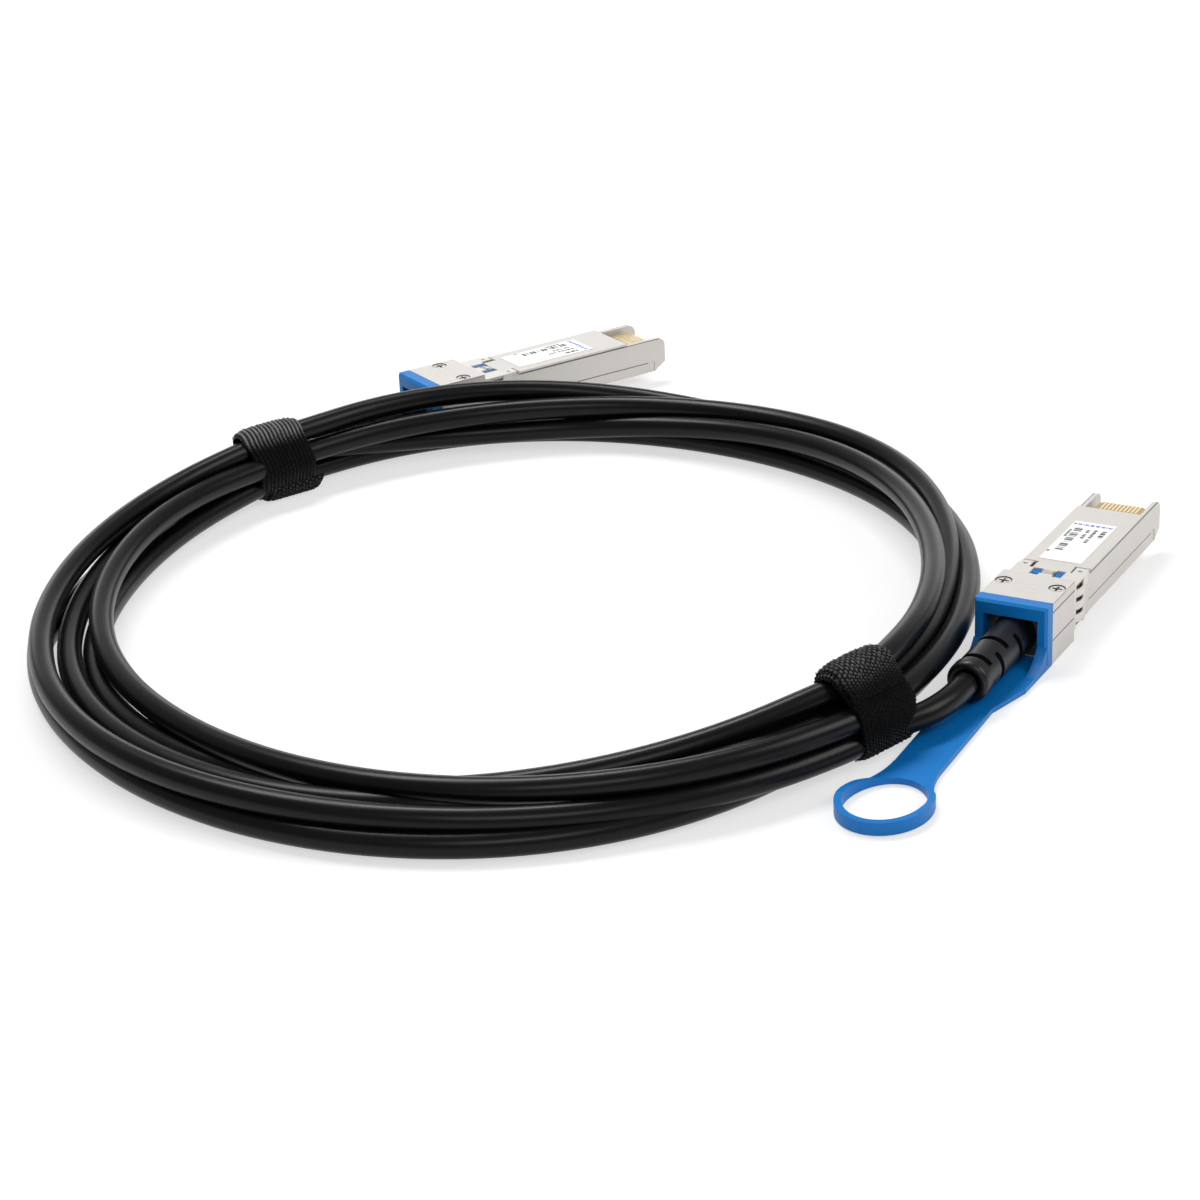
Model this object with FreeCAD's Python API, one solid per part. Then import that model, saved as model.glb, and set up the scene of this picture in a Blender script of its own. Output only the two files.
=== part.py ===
import FreeCAD, Part
import math
import os

# Direct attach copper cable: two pluggable modules joined by one round cable, which lies wound
# in a loose coil held by two hook-and-loop ties. Millimetres, +Z up, z = 0 is the surface that
# everything lies on. Each module is modelled in its own frame: x runs from the cable end
# (negative) to the contacts (positive), x = 0 is the front face of the metal head, y = 0 is the
# module's middle, and z = 0 is the underside of the head. It is then placed twice.

# Where each end lies in the whole part: x, y and heading of the module's x axis.
end_places = {"a": (69.95, -55.75, 60.5), "b": (-44.65, 84.25, 32.8)}
tab_leans = {"a": 2.1, "b": 5.7}          # degrees, sideways lie of each strap

# Plug body, which enters a cage.
body_width = 13.5
body_height = 8.5
body_top = 10.9
body_bottom = body_top - body_height
wall = 1.0
floor = 1.0
cover_thickness = 0.6
seam = 0.05                               # gap between the cover and the walls' tops
wall_top = body_top - cover_thickness - seam
head_length = 11.7
cover_end = head_length + 39.3
arm_end = head_length + 50.1
arm_nose = 1.9                            # round top corner of each arm
arm_chamfer_run = 3.2
arm_chamfer_rise = 2.0
relief_depth = 0.15
relief_top = 5.5
relief_end = arm_end - 3.0
relief_corner = 1.5

# Metal head, which stays outside the cage.
head_width = 14.2
head_top = body_top + 1.5
head_split = wall_top
groove_line = 0.15
head_groove_heights = (4.7, head_top - 0.3)

# Strain relief boot, ferrule and wires.
cable_diameter = 4.8
cable_radius = cable_diameter / 2
boot_height = 5.4
boot_radius = 3.9
boot_flange_radius = 4.1
boot_end = -25.0
boot_grooves = (-10.4, -19.8)
boot_groove_width = 1.1
boot_groove_depth = 0.8
boot_end_round = 0.8
boot_neck_radius = 3.5
boot_neck_length = 3.4
fit_gap = 0.05                            # radial running gap
ferrule_radius = 2.9
ferrule_length = 5.0
wire_radius = 0.42
wire_sides = 6
wire_starts = (0.75, 2.1)                 # how far each wire leaves the ferrule from the middle
wire_ends = (2.4, 3.9)

# Circuit board.
board_thickness = 1.0
board_top = body_top - 1.9
board_bottom = board_top - board_thickness
board_gap = 0.25
board_start = head_length + 10.3
board_end = arm_end - 2.5
board_width = body_width - 2 * wall - 2 * board_gap
edge_width = board_width - 1.4
edge_start = cover_end - 0.5
edge_chamfer = 0.7
pad_count = 10
pad_pitch = 0.8
pad_width = 0.5
pad_length = 3.2
pad_height = 0.05
chip_size = (7.0, 5.0, 0.8)
chip_centre = board_start + 12.0

# Sheet collar with sprung fingers round the plug body, just behind the head.
sheet = 0.25
collar_start = head_length + 0.1
collar_band = 1.0
collar_end = collar_start + 5.8
finger_bow = 0.5
side_finger_count = 3
side_finger_height = 0.19 * body_height
side_finger_pitch = 0.3 * body_height
tab_end = collar_end + 2.8
tab_inner = body_width / 2 - 2.45
tab_drop_back = 1.4
tab_drop = 1.6
pocket_gap = 0.35
pocket_depth = 0.4
dimple_radius = 0.4
dimple_depth = 0.15

# Slider: the blue pull tab with its two legs.
frame_gap = 0.1
frame_depth = 3.0
frame_half = 7.2
window_half = 5.3
window_top = 9.65
strap_thickness = 1.0
strap_half = 4.4
strap_wide_end = -14.0
strap_narrow_start = -24.0
strap_end = -50.0
frame_edge = 0.5
gusset_height = 4.6
gusset_reach = 9.5
loop_centre = -65.6
loop_outer = (10.0, 8.4)
loop_wall = 1.3
loop_height = 2.4
loop_low = 1.5                            # the rim's height where it meets the strap
loop_full_from = -67.0
flare_turn = 60.0                         # degrees round the loop where the strap's flare meets it
flare_thickness = 1.1
leg_centre = 2.3
leg_width = 1.6
leg_top = body_top - 0.25
leg_bottom = leg_top - 0.8
leg_end = collar_end - 0.2
lug_length = 1.6
lug_top = body_top + sheet + 0.05
slot_gap = 0.12
tab_travel = 1.6

# Latch: a rocker whose boss stands up through the collar.
rocker_half = 1.05
rocker_slot_half = leg_centre - leg_width / 2 - slot_gap + 0.02
pivot_x = head_length - 2.5
pivot_height = body_top + 0.2
pivot_radius = 0.4
barrel_radius = 0.78
pin_half_length = 2.9
rocker_thickness = 0.55
rocker_bottom = pivot_height - 0.8
rocker_top = rocker_bottom + rocker_thickness
rocker_end = collar_end - 0.1
rocker_tail = head_length - 9.8           # end of the tail, whose underside is the cam ramp
rocker_ramp = (head_length - 7.3, head_length - 9.2)
rocker_tail_bottom = rocker_bottom + 0.2
rocker_ramp_bottom = rocker_tail_bottom - 0.4
boss_length = 2.0
boss_start = rocker_end - boss_length
boss_top = body_top + sheet + 0.25
slider_bar = (head_length - 7.1, head_length - 5.9)
slider_bar_top = rocker_tail_bottom - 0.12

# Return spring under the rocker.
spring_x = boss_start + 0.4
spring_radius = 1.1
spring_wire = 0.35
spring_turns = 3
spring_post_radius = 0.75
spring_post_height = 1.4

# Cover screws.
screw_x = head_length - 4.7
screw_y = head_width / 2 - 1.8
screw_head_radius = 1.4
screw_head_height = 0.75
screw_sink = 0.15
screw_ring = 0.15                         # gap that shows round each head
screw_shank_radius = 0.72
screw_length = 6.5
cross_width = 0.45
cross_length = 2.1
cross_depth = 0.45

# Bare label plate.
label_start = head_length + 11.1
label_end = cover_end - 7.9
label_half = 4.25
label_thickness = 0.1

# Coil: its middle, and the bundles at the two ties: angle, radius, half width, height.
coil_middle = (-24.65, -24.25)
coil_rest = 0.05
coil_step = 7.5                           # degrees between the outer shape's sections, about
tie_lift = 0.6                            # the right-hand bundle stands clear of the strap
tie_thickness = 1.3
soft_gap = 0.3
tie_width = 12.8
bundle_bottom = tie_thickness + soft_gap
bundle_corner = cable_radius
right_tie = {"angle": -46.5, "radius": 91.7, "half": 5.1, "height": 13.6, "lift": tie_lift,
             "corner": 4.0, "beyond": 3.0}
left_tie = {"angle": 125.5, "radius": 87.0, "half": 4.8, "height": 13.1, "lift": 0.0,
            "corner": bundle_corner, "beyond": 0.0}
# Outer shape of the turns between the ties: angle, inner radius, outer radius, height.
back_shape = [(105, 83.5, 97.0, 15.5), (90, 88.0, 101.0, 14.6), (72, 90.0, 104.4, 12.6),
              (52, 89.0, 103.0, 12.3), (30, 82.0, 98.6, 12.4), (10, 80.2, 93.2, 12.5),
              (-12, 80.0, 90.9, 12.9), (-29, 82.2, 90.2, 14.0)]
front_shape = [(298, 86.5, 99.5, 14.0), (280, 82.0, 103.0, 11.6), (258, 81.0, 103.6, 10.2),
               (236, 78.0, 100.6, 9.4), (213, 76.8, 97.6, 9.6), (190, 76.3, 93.2, 10.4),
               (168, 76.4, 91.0, 11.6), (148, 77.4, 89.6, 13.4)]

# Cable tails, from each boot to where the cable meets the coil.
tail_a = [(57.65, -77.55, 5.4), (55.25, -81.85, 5.4), (52.15, -85.65, 5.2), (48.55, -88.85, 5.0)]
tail_b = [(-65.65, 70.75, 5.4), (-72.75, 66.15, 5.6), (-80.55, 59.35, 5.9), (-87.55, 50.15, 6.0),
          (-93.15, 39.75, 5.2), (-96.75, 29.75, 4.2)]

origin = FreeCAD.Vector(0, 0, 0)
up = FreeCAD.Vector(0, 0, 1)
along = FreeCAD.Vector(1, 0, 0)
across = FreeCAD.Vector(0, 1, 0)


def box(x0, x1, y0, y1, z0, z1):
    return Part.makeBox(x1 - x0, y1 - y0, z1 - z0, FreeCAD.Vector(x0, y0, z0))


def both_sides(shape):
    return shape.fuse(shape.mirror(origin, across))


def plate(points, height, thickness):
    """A flat outline in the XY plane, raised by its thickness."""
    corners = [FreeCAD.Vector(x, y, height) for x, y in points]
    return Part.Face(Part.makePolygon(corners + corners[:1])).extrude(up * thickness)


def side_plate(edges, y0, y1):
    """A closed outline in the XZ plane, given as edges at y = 0, run from y0 to y1."""
    face = Part.Face(Part.Wire(Part.__sortEdges__(edges)))
    face.translate(across * y0)
    return face.extrude(across * (y1 - y0))


def line(p, q):
    return Part.LineSegment(FreeCAD.Vector(*p), FreeCAD.Vector(*q)).toShape()


def arc(p, middle, q):
    return Part.Arc(FreeCAD.Vector(*p), FreeCAD.Vector(*middle), FreeCAD.Vector(*q)).toShape()


def rod(start, direction, radius, length):
    return Part.makeCylinder(radius, length, start, direction)


def smooth_path(points):
    """Straight runs joined by tangent arcs, each as large as its two runs allow."""
    corners = [FreeCAD.Vector(*p) for p in points]
    edges = []
    radii = []
    last = corners[0]
    for before, corner, after in zip(corners, corners[1:], corners[2:]):
        run_in, run_out = corner - before, after - corner
        turn = run_in.getAngle(run_out)
        reach = 0.45 * min(run_in.Length, run_out.Length)
        radii.append(reach / math.tan(turn / 2))
        way_in, way_out = run_in / run_in.Length, run_out / run_out.Length
        start, end = corner - way_in * reach, corner + way_out * reach
        inward = (way_out - way_in) / (way_out - way_in).Length
        sagitta = radii[-1] * (1 / math.cos(turn / 2) - 1)
        edges.append(Part.LineSegment(last, start).toShape())
        edges.append(Part.Arc(start, corner + inward * sagitta, end).toShape())
        last = end
    edges.append(Part.LineSegment(last, corners[-1]).toShape())
    return Part.Wire(edges), radii


def tube(name, points, radius):
    path, radii = smooth_path(points)
    first = FreeCAD.Vector(*points[1]) - FreeCAD.Vector(*points[0])
    section = Part.Wire(Part.Circle(FreeCAD.Vector(*points[0]), first, radius).toShape())
    solid = path.makePipeShell([section], True, True)
    exact = math.pi * radius ** 2 * path.Length
    print(name, "radii", [round(r, 1) for r in radii], "length", round(path.Length, 1),
          "volume", round(solid.Volume, 1), "of", round(exact, 1))
    return solid


# ---- module pieces, in the module's own frame ----

def arm_wall(y0, y1):
    """One side wall, whose front runs on past the cover as a rounded arm."""
    low, high = body_bottom, wall_top
    nose_middle = arm_nose * (1 - math.sqrt(0.5))
    return side_plate([
        line((head_length, 0, low), (arm_end - arm_chamfer_run, 0, low)),
        line((arm_end - arm_chamfer_run, 0, low), (arm_end, 0, low + arm_chamfer_rise)),
        line((arm_end, 0, low + arm_chamfer_rise), (arm_end, 0, high - arm_nose)),
        arc((arm_end, 0, high - arm_nose), (arm_end - nose_middle, 0, high - nose_middle),
            (arm_end - arm_nose, 0, high)),
        line((arm_end - arm_nose, 0, high), (head_length, 0, high)),
        line((head_length, 0, high), (head_length, 0, low))], y0, y1)


def side_relief():
    """The shallow step along the lower side, with its rounded front corner."""
    start, end, top = tab_end, relief_end, relief_top
    skin = body_width / 2 - relief_depth
    middle = relief_corner * (1 - math.sqrt(0.5))
    low = body_bottom - 1
    return side_plate([
        line((start, 0, low), (end, 0, low)),
        line((end, 0, low), (end, 0, top - relief_corner)),
        arc((end, 0, top - relief_corner), (end - middle, 0, top - middle),
            (end - relief_corner, 0, top)),
        line((end - relief_corner, 0, top), (start, 0, top)),
        line((start, 0, top), (start, 0, low))], skin, skin + 1)


def make_lower_housing():
    half = body_width / 2
    inner = half - wall
    head = box(0, head_length, -head_width / 2, head_width / 2, 0, head_split)
    channel = both_sides(arm_wall(inner, half))
    channel = channel.fuse(box(head_length, cover_end, -half, half, body_bottom,
                               body_bottom + floor))
    ledge_depth = inner - board_width / 2 + wall
    ledge = box(board_start, edge_start, inner - ledge_depth, inner, body_bottom + floor,
                board_bottom)
    post = rod(FreeCAD.Vector(spring_x, 0, body_bottom + floor), up, spring_post_radius,
               spring_post_height)
    housing = head.fuse([channel, both_sides(ledge), post])
    socket = rod(FreeCAD.Vector(-1, 0, boot_height), along, boot_neck_radius + fit_gap,
                 1 + boot_neck_length + fit_gap)
    core_half = ferrule_radius + slot_gap
    core = box(boot_neck_length, head_length + wall, -core_half, core_half,
               boot_height - ferrule_radius - fit_gap, head_split + 1)
    rear = box(screw_x + screw_head_radius + wall, head_length + wall, -inner, inner,
               body_bottom + floor, head_split + 1)
    legs = box(-1, head_length, leg_centre - leg_width / 2 - slot_gap,
               leg_centre + leg_width / 2 + slot_gap, leg_bottom - slot_gap, head_split + 1)
    pilot = rod(FreeCAD.Vector(screw_x, screw_y, head_split - screw_length), up,
                screw_shank_radius + fit_gap, screw_length + 1)
    side_line = box(-1, head_length + 1, head_width / 2 - groove_line, head_width,
                    head_groove_heights[0], head_groove_heights[0] + groove_line)
    bar = box(slider_bar[0] - tab_travel - slot_gap, slider_bar[1], -leg_centre, leg_centre,
              leg_bottom - slot_gap, head_split + 1)
    tail = box(rocker_tail - slot_gap, slider_bar[1], -rocker_slot_half, rocker_slot_half,
               rocker_ramp_bottom - slot_gap, head_split + 1)
    cuts = [both_sides(s) for s in (legs, pilot, side_line, side_relief())]
    return housing.cut(cuts + [socket, core, rear, bar, tail])


def lug_opening(top):
    """The room that one lug needs over its travel, through the cover and the collar."""
    return box(leg_end - lug_length - tab_travel - slot_gap, leg_end + slot_gap,
               leg_centre - leg_width / 2 - slot_gap, leg_centre + leg_width / 2 + slot_gap,
               0, top)


def make_top_cover():
    half = body_width / 2
    roof = box(0, head_length, -head_width / 2, head_width / 2, head_split + seam, head_top)
    lid = box(head_length, cover_end, -half, half, wall_top + seam, body_top)
    cover = roof.fuse(lid)
    leg_slot = box(-1, leg_end + slot_gap, leg_centre - leg_width / 2 - slot_gap,
                   leg_centre + leg_width / 2 + slot_gap, 0, leg_top + slot_gap)
    lug_slot = lug_opening(head_top)
    bar_slot = box(slider_bar[0] - tab_travel - slot_gap, slider_bar[1] + slot_gap, 0,
                   leg_centre, 0, slider_bar_top + slot_gap)
    side_line = box(-1, head_length + 1, head_width / 2 - groove_line, head_width,
                    head_groove_heights[1], head_groove_heights[1] + groove_line)
    rocker_slot = box(rocker_tail - slot_gap, head_length, -rocker_slot_half, rocker_slot_half, 0,
                      head_top - 0.35)
    boss_slot = box(head_length - slot_gap, rocker_end + slot_gap, -rocker_slot_half,
                    rocker_slot_half, 0, head_top)
    pin_hole = rod(FreeCAD.Vector(pivot_x, -pin_half_length, pivot_height), across,
                   pivot_radius, 2 * pin_half_length)
    screw_hole = rod(FreeCAD.Vector(screw_x, screw_y, 0), up, screw_shank_radius + fit_gap,
                     head_top + 1)
    sink = Part.makeCone(screw_shank_radius + fit_gap, screw_head_radius + fit_gap,
                         screw_head_height,
                         FreeCAD.Vector(screw_x, screw_y, head_top - screw_sink
                                        - screw_head_height))
    rim = rod(FreeCAD.Vector(screw_x, screw_y, head_top - 2 * screw_sink), up,
              screw_head_radius + screw_ring, 1)
    pocket = box(collar_end, tab_end + pocket_gap, tab_inner - pocket_gap, half + 1,
                 body_top - pocket_depth, body_top + 1)
    rest = box(collar_end - 1, tab_end, tab_inner, half, body_top - 1, body_top)
    pocket = pocket.cut(rest)
    mirrored = [both_sides(s) for s in (leg_slot, lug_slot, bar_slot, side_line, screw_hole,
                                        sink, rim, pocket)]
    return cover.cut(mirrored + [rocker_slot, boss_slot, pin_hole])


def make_circuit_board():
    half, edge = board_width / 2, edge_width / 2
    outline = [(board_start, -half), (edge_start, -half), (edge_start, -edge),
               (board_end - edge_chamfer, -edge), (board_end, -edge + edge_chamfer),
               (board_end, edge - edge_chamfer), (board_end - edge_chamfer, edge),
               (edge_start, edge), (edge_start, half), (board_start, half)]
    board = plate(outline, board_bottom, board_thickness)
    pads = []
    for i in range(pad_count):
        middle = (i - (pad_count - 1) / 2) * pad_pitch
        for low in (board_top, board_bottom - pad_height):
            pads.append(box(board_end - edge_chamfer / 2 - pad_length,
                            board_end - edge_chamfer / 2, middle - pad_width / 2,
                            middle + pad_width / 2, low, low + pad_height))
    length, width, height = chip_size
    chip = box(chip_centre - length / 2, chip_centre + length / 2, -width / 2, width / 2,
               board_top, board_top + height)
    return board.fuse(pads + [chip])


def bowed_finger(height, side, low):
    """A strip bowed outwards in plan, standing on the plug body's side."""
    start, end = collar_start + collar_band, collar_end - collar_band
    middle = (start + end) / 2
    outer = [FreeCAD.Vector(start, side + sheet, low), FreeCAD.Vector(middle, side + sheet
             + finger_bow, low), FreeCAD.Vector(end, side + sheet, low)]
    inner = [FreeCAD.Vector(end, side, low), FreeCAD.Vector(middle, side + finger_bow, low),
             FreeCAD.Vector(start, side, low)]
    edges = [Part.Arc(*outer).toShape(), Part.LineSegment(outer[2], inner[0]).toShape(),
             Part.Arc(*inner).toShape(), Part.LineSegment(inner[2], outer[0]).toShape()]
    return Part.Face(Part.Wire(edges)).extrude(up * height)


def make_emi_collar():
    half, low, high = body_width / 2, body_bottom, body_top
    fit = box(collar_start - 1, collar_end + 9, -half, half, low, high)

    def ring(x0, x1):
        return box(x0, x1, -half - sheet, half + sheet, low - sheet, high + sheet)

    front = ring(collar_start, collar_start + collar_band)
    back = ring(collar_end - collar_band, collar_end)
    top = box(collar_start, collar_end, -half - sheet, half + sheet, high, high + sheet)
    fingers = []
    first = low + (body_height - (side_finger_count - 1) * side_finger_pitch
                   - side_finger_height) / 2
    for i in range(side_finger_count):
        finger = bowed_finger(side_finger_height, half, first + i * side_finger_pitch)
        fingers.append(both_sides(finger))
    bottom = box(collar_start, collar_end, -half / 2, half / 2, low - sheet, low)
    corner = box(collar_end, tab_end, tab_inner, half, high, high + sheet)
    drop = box(collar_end, tab_end - tab_drop_back, half, half + sheet, high - tab_drop,
               high + sheet)
    tabs = both_sides(corner.fuse(drop))
    collar = front.fuse([back, top, bottom, tabs] + fingers).cut(fit)
    boss_window = box(boss_start - slot_gap, rocker_end + slot_gap, -rocker_slot_half,
                      rocker_slot_half, high - 1, high + 1)
    dimple = Part.makeCone(dimple_radius / 2, dimple_radius, dimple_depth,
                           FreeCAD.Vector((collar_end + tab_end) / 2, (tab_inner + half) / 2,
                                          high + sheet - dimple_depth))
    return collar.cut([both_sides(lug_opening(head_top)), boss_window, both_sides(dimple)])


def make_latch_rocker():
    low, high = rocker_bottom, rocker_top
    arm = box(pivot_x, rocker_end, -rocker_half, rocker_half, low, high)
    tail_top = rocker_tail_bottom + high - low
    tail = side_plate([
        line((pivot_x, 0, rocker_tail_bottom), (pivot_x, 0, tail_top)),
        line((pivot_x, 0, tail_top), (rocker_tail, 0, tail_top)),
        line((rocker_tail, 0, tail_top), (rocker_tail, 0, rocker_ramp_bottom)),
        line((rocker_tail, 0, rocker_ramp_bottom), (rocker_ramp[1], 0, rocker_ramp_bottom)),
        line((rocker_ramp[1], 0, rocker_ramp_bottom), (rocker_ramp[0], 0, rocker_tail_bottom)),
        line((rocker_ramp[0], 0, rocker_tail_bottom), (pivot_x, 0, rocker_tail_bottom))],
        -rocker_half, rocker_half)
    barrel = rod(FreeCAD.Vector(pivot_x, -rocker_half, pivot_height), across, barrel_radius,
                 2 * rocker_half)
    boss = side_plate([
        line((boss_start, 0, high), (rocker_end, 0, high)),
        line((rocker_end, 0, high), (boss_start + boss_length / 4, 0, boss_top)),
        line((boss_start + boss_length / 4, 0, boss_top), (boss_start, 0, high))],
        -rocker_half, rocker_half)
    bore = rod(FreeCAD.Vector(pivot_x, -rocker_half, pivot_height), across,
               pivot_radius + fit_gap, 2 * rocker_half)
    return arm.fuse([tail, barrel, boss]).cut(bore)


def make_latch_pin():
    return rod(FreeCAD.Vector(pivot_x, -pin_half_length, pivot_height), across, pivot_radius,
               2 * pin_half_length)


def make_return_spring():
    foot = body_bottom + floor
    rise = rocker_bottom - foot - spring_wire
    helix = Part.makeHelix(rise / spring_turns, rise, spring_radius)
    square = spring_wire / 2
    corners = [FreeCAD.Vector(spring_radius + dx, 0, dz) for dx, dz in
               ((-square, -square), (square, -square), (square, square), (-square, square))]
    section = Part.makePolygon(corners + corners[:1])
    spring = Part.Wire(helix).makePipeShell([section], True, True)
    spring.translate(FreeCAD.Vector(spring_x, 0, foot + square))
    return spring


def flat_ellipse(lengthwise, crosswise, height):
    edge = Part.Ellipse(FreeCAD.Vector(loop_centre, 0, 0), lengthwise, crosswise).toShape()
    return Part.Face(Part.Wire(edge)).extrude(up * height)


def make_loop():
    """The strap's flare and the finger loop, whose rim rises away from the strap."""
    turn = math.radians(flare_turn)
    meet = (loop_centre + loop_outer[0] * math.cos(turn), loop_outer[1] * math.sin(turn))
    chord = math.hypot(meet[0] - strap_end, meet[1] - strap_half)
    bend = math.atan2(meet[1] - strap_half, strap_end - meet[0])
    radius = chord / (2 * math.sin(bend))
    middle = (strap_end - radius * math.sin(bend), strap_half + radius * (1 - math.cos(bend)))
    left = arc((strap_end, strap_half, 0), (*middle, 0), (*meet, 0))
    right = arc((strap_end, -strap_half, 0), (middle[0], -middle[1], 0), (meet[0], -meet[1], 0))
    edges = [left, line((*meet, 0), (meet[0], -meet[1], 0)), right,
             line((strap_end, -strap_half, 0), (strap_end, strap_half, 0))]
    flare = Part.Face(Part.Wire(Part.__sortEdges__(edges))).extrude(up * flare_thickness)
    rim = flat_ellipse(*loop_outer, loop_height)
    near = loop_centre + loop_outer[0]
    far = loop_centre - loop_outer[0] - 1
    above = side_plate([
        line((near + 1, 0, loop_low), (near - loop_wall, 0, loop_low)),
        line((near - loop_wall, 0, loop_low), (loop_full_from, 0, loop_height)),
        line((loop_full_from, 0, loop_height), (far, 0, loop_height)),
        line((far, 0, loop_height), (far, 0, loop_height + 1)),
        line((far, 0, loop_height + 1), (near + 1, 0, loop_height + 1)),
        line((near + 1, 0, loop_height + 1), (near + 1, 0, loop_low))],
        -loop_outer[1] - 1, loop_outer[1] + 1)
    hole = flat_ellipse(loop_outer[0] - loop_wall, loop_outer[1] - loop_wall, loop_height)
    return flare.fuse(rim.cut(above)).cut(hole)


def make_pull_tab(lean):
    front, back = -frame_gap - frame_depth, -frame_gap
    frame = box(front, back, -frame_half, frame_half, 0, head_top)
    frame = frame.makeChamfer(frame_edge, [e for e in frame.Edges if e.BoundBox.XMax < back - 1
                                           and e.BoundBox.ZMax > head_top - 1])
    frame = frame.cut(box(front - 1, 1, -window_half, window_half, strap_thickness, window_top))
    bend = gusset_reach * 0.3
    gusset = side_plate([
        line((front, 0, 0), (front - gusset_reach, 0, 0)),
        line((front - gusset_reach, 0, 0), (front - gusset_reach, 0, strap_thickness)),
        arc((front - gusset_reach, 0, strap_thickness),
            (front - bend, 0, strap_thickness + (gusset_height - strap_thickness) * 0.32),
            (front, 0, gusset_height)),
        line((front, 0, gusset_height), (front, 0, 0))], window_half, frame_half)
    apron = plate([(back, -frame_half), (back, frame_half), (strap_wide_end, frame_half),
                   (strap_wide_end, -frame_half)], 0, strap_thickness)
    strap = plate([(strap_wide_end, frame_half), (strap_narrow_start, strap_half),
                   (strap_end, strap_half), (strap_end, -strap_half),
                   (strap_narrow_start, -strap_half), (strap_wide_end, -frame_half)],
                  0, strap_thickness)
    strap = strap.fuse(make_loop())
    strap.rotate(FreeCAD.Vector(strap_wide_end, 0, 0), up, lean)
    leg_side = leg_centre - leg_width / 2
    leg = box(front, leg_end, leg_side, leg_side + leg_width, leg_bottom, leg_top)
    lug = box(leg_end - lug_length, leg_end, leg_side, leg_side + leg_width, leg_bottom, lug_top)
    lug = lug.makeFillet(leg_width * 0.4, [e for e in lug.Edges if e.BoundBox.ZLength > 1])
    bar = box(slider_bar[0], slider_bar[1], -leg_centre, leg_centre, leg_bottom, slider_bar_top)
    pieces = [both_sides(gusset), apron, strap, both_sides(leg), both_sides(lug), bar]
    return frame.fuse(pieces).removeSplitter()


def make_cover_screws():
    head_bottom = head_top - screw_sink - screw_head_height
    top = head_top - screw_sink
    head = Part.makeCone(screw_shank_radius, screw_head_radius, screw_head_height,
                         FreeCAD.Vector(screw_x, screw_y, head_bottom))
    shank = rod(FreeCAD.Vector(screw_x, screw_y, top - screw_length), up, screw_shank_radius,
                screw_length - screw_head_height)
    screw = head.fuse(shank)
    for length, width in ((cross_length, cross_width), (cross_width, cross_length)):
        screw = screw.cut(box(screw_x - length / 2, screw_x + length / 2, screw_y - width / 2,
                              screw_y + width / 2, top - cross_depth, top + 1))
    return Part.makeCompound([screw, screw.mirror(origin, across)])


def make_strain_relief():
    boot = rod(FreeCAD.Vector(boot_end, 0, boot_height), along, boot_radius, -boot_end)
    flange = rod(FreeCAD.Vector(boot_end, 0, boot_height), along, boot_flange_radius,
                 boot_grooves[1] - boot_end)
    flange = flange.makeFillet(boot_end_round, [e for e in flange.Edges
                                                if e.BoundBox.XMax < boot_end + 1])
    boot = boot.cut(rod(FreeCAD.Vector(boot_end, 0, boot_height), along, boot_radius,
                        boot_end_round))
    neck = rod(FreeCAD.Vector(0, 0, boot_height), along, boot_neck_radius, boot_neck_length)
    boot = boot.fuse([flange, neck])
    for x in boot_grooves:
        ring = rod(FreeCAD.Vector(x - boot_groove_width / 2, 0, boot_height), along,
                   boot_flange_radius + 1, boot_groove_width)
        core = rod(FreeCAD.Vector(x - boot_groove_width / 2, 0, boot_height), along,
                   boot_radius - boot_groove_depth, boot_groove_width)
        boot = boot.cut(ring.cut(core))
    return boot


def make_cable_ferrule():
    start = FreeCAD.Vector(boot_neck_length, 0, boot_height)
    sleeve = rod(start, along, ferrule_radius, ferrule_length)
    crimp = rod(start + along * ferrule_length * 0.3, along, ferrule_radius + 1,
                ferrule_length * 0.4)
    return sleeve.cut(crimp.cut(rod(start, along, ferrule_radius - 0.3, ferrule_length)))


def make_inner_wires():
    """Straight wires from the ferrule's end to the board's rear edge, two each side."""
    start = boot_neck_length + ferrule_length + fit_gap
    level = (board_top + board_bottom) / 2
    wires = []
    for inner, outer in zip(wire_starts, wire_ends):
        first = FreeCAD.Vector(start, inner, boot_height)
        run = FreeCAD.Vector(board_start - fit_gap, outer, level) - first
        corners = []
        for i in range(wire_sides):
            turn = 2 * math.pi * i / wire_sides
            corners.append(first + FreeCAD.Vector(0, wire_radius * math.cos(turn),
                                                  wire_radius * math.sin(turn)))
        section = Part.Face(Part.makePolygon(corners + corners[:1]))
        wires.append(section.extrude(run))
    return Part.makeCompound(wires + [w.mirror(origin, across) for w in wires])


def make_label():
    return box(label_start, label_end, -label_half, label_half, body_top,
               body_top + label_thickness)


def place(shape, end):
    x, y, heading = end_places[end]
    moved = shape.copy()
    moved.rotate(origin, up, heading)
    moved.translate(FreeCAD.Vector(x, y, 0))
    return moved


# ---- coil and ties, in the whole part's frame ----

def coil_point(angle, radius, height=0.0):
    turn = math.radians(angle)
    return FreeCAD.Vector(coil_middle[0] + radius * math.cos(turn),
                          coil_middle[1] + radius * math.sin(turn), height)


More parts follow.
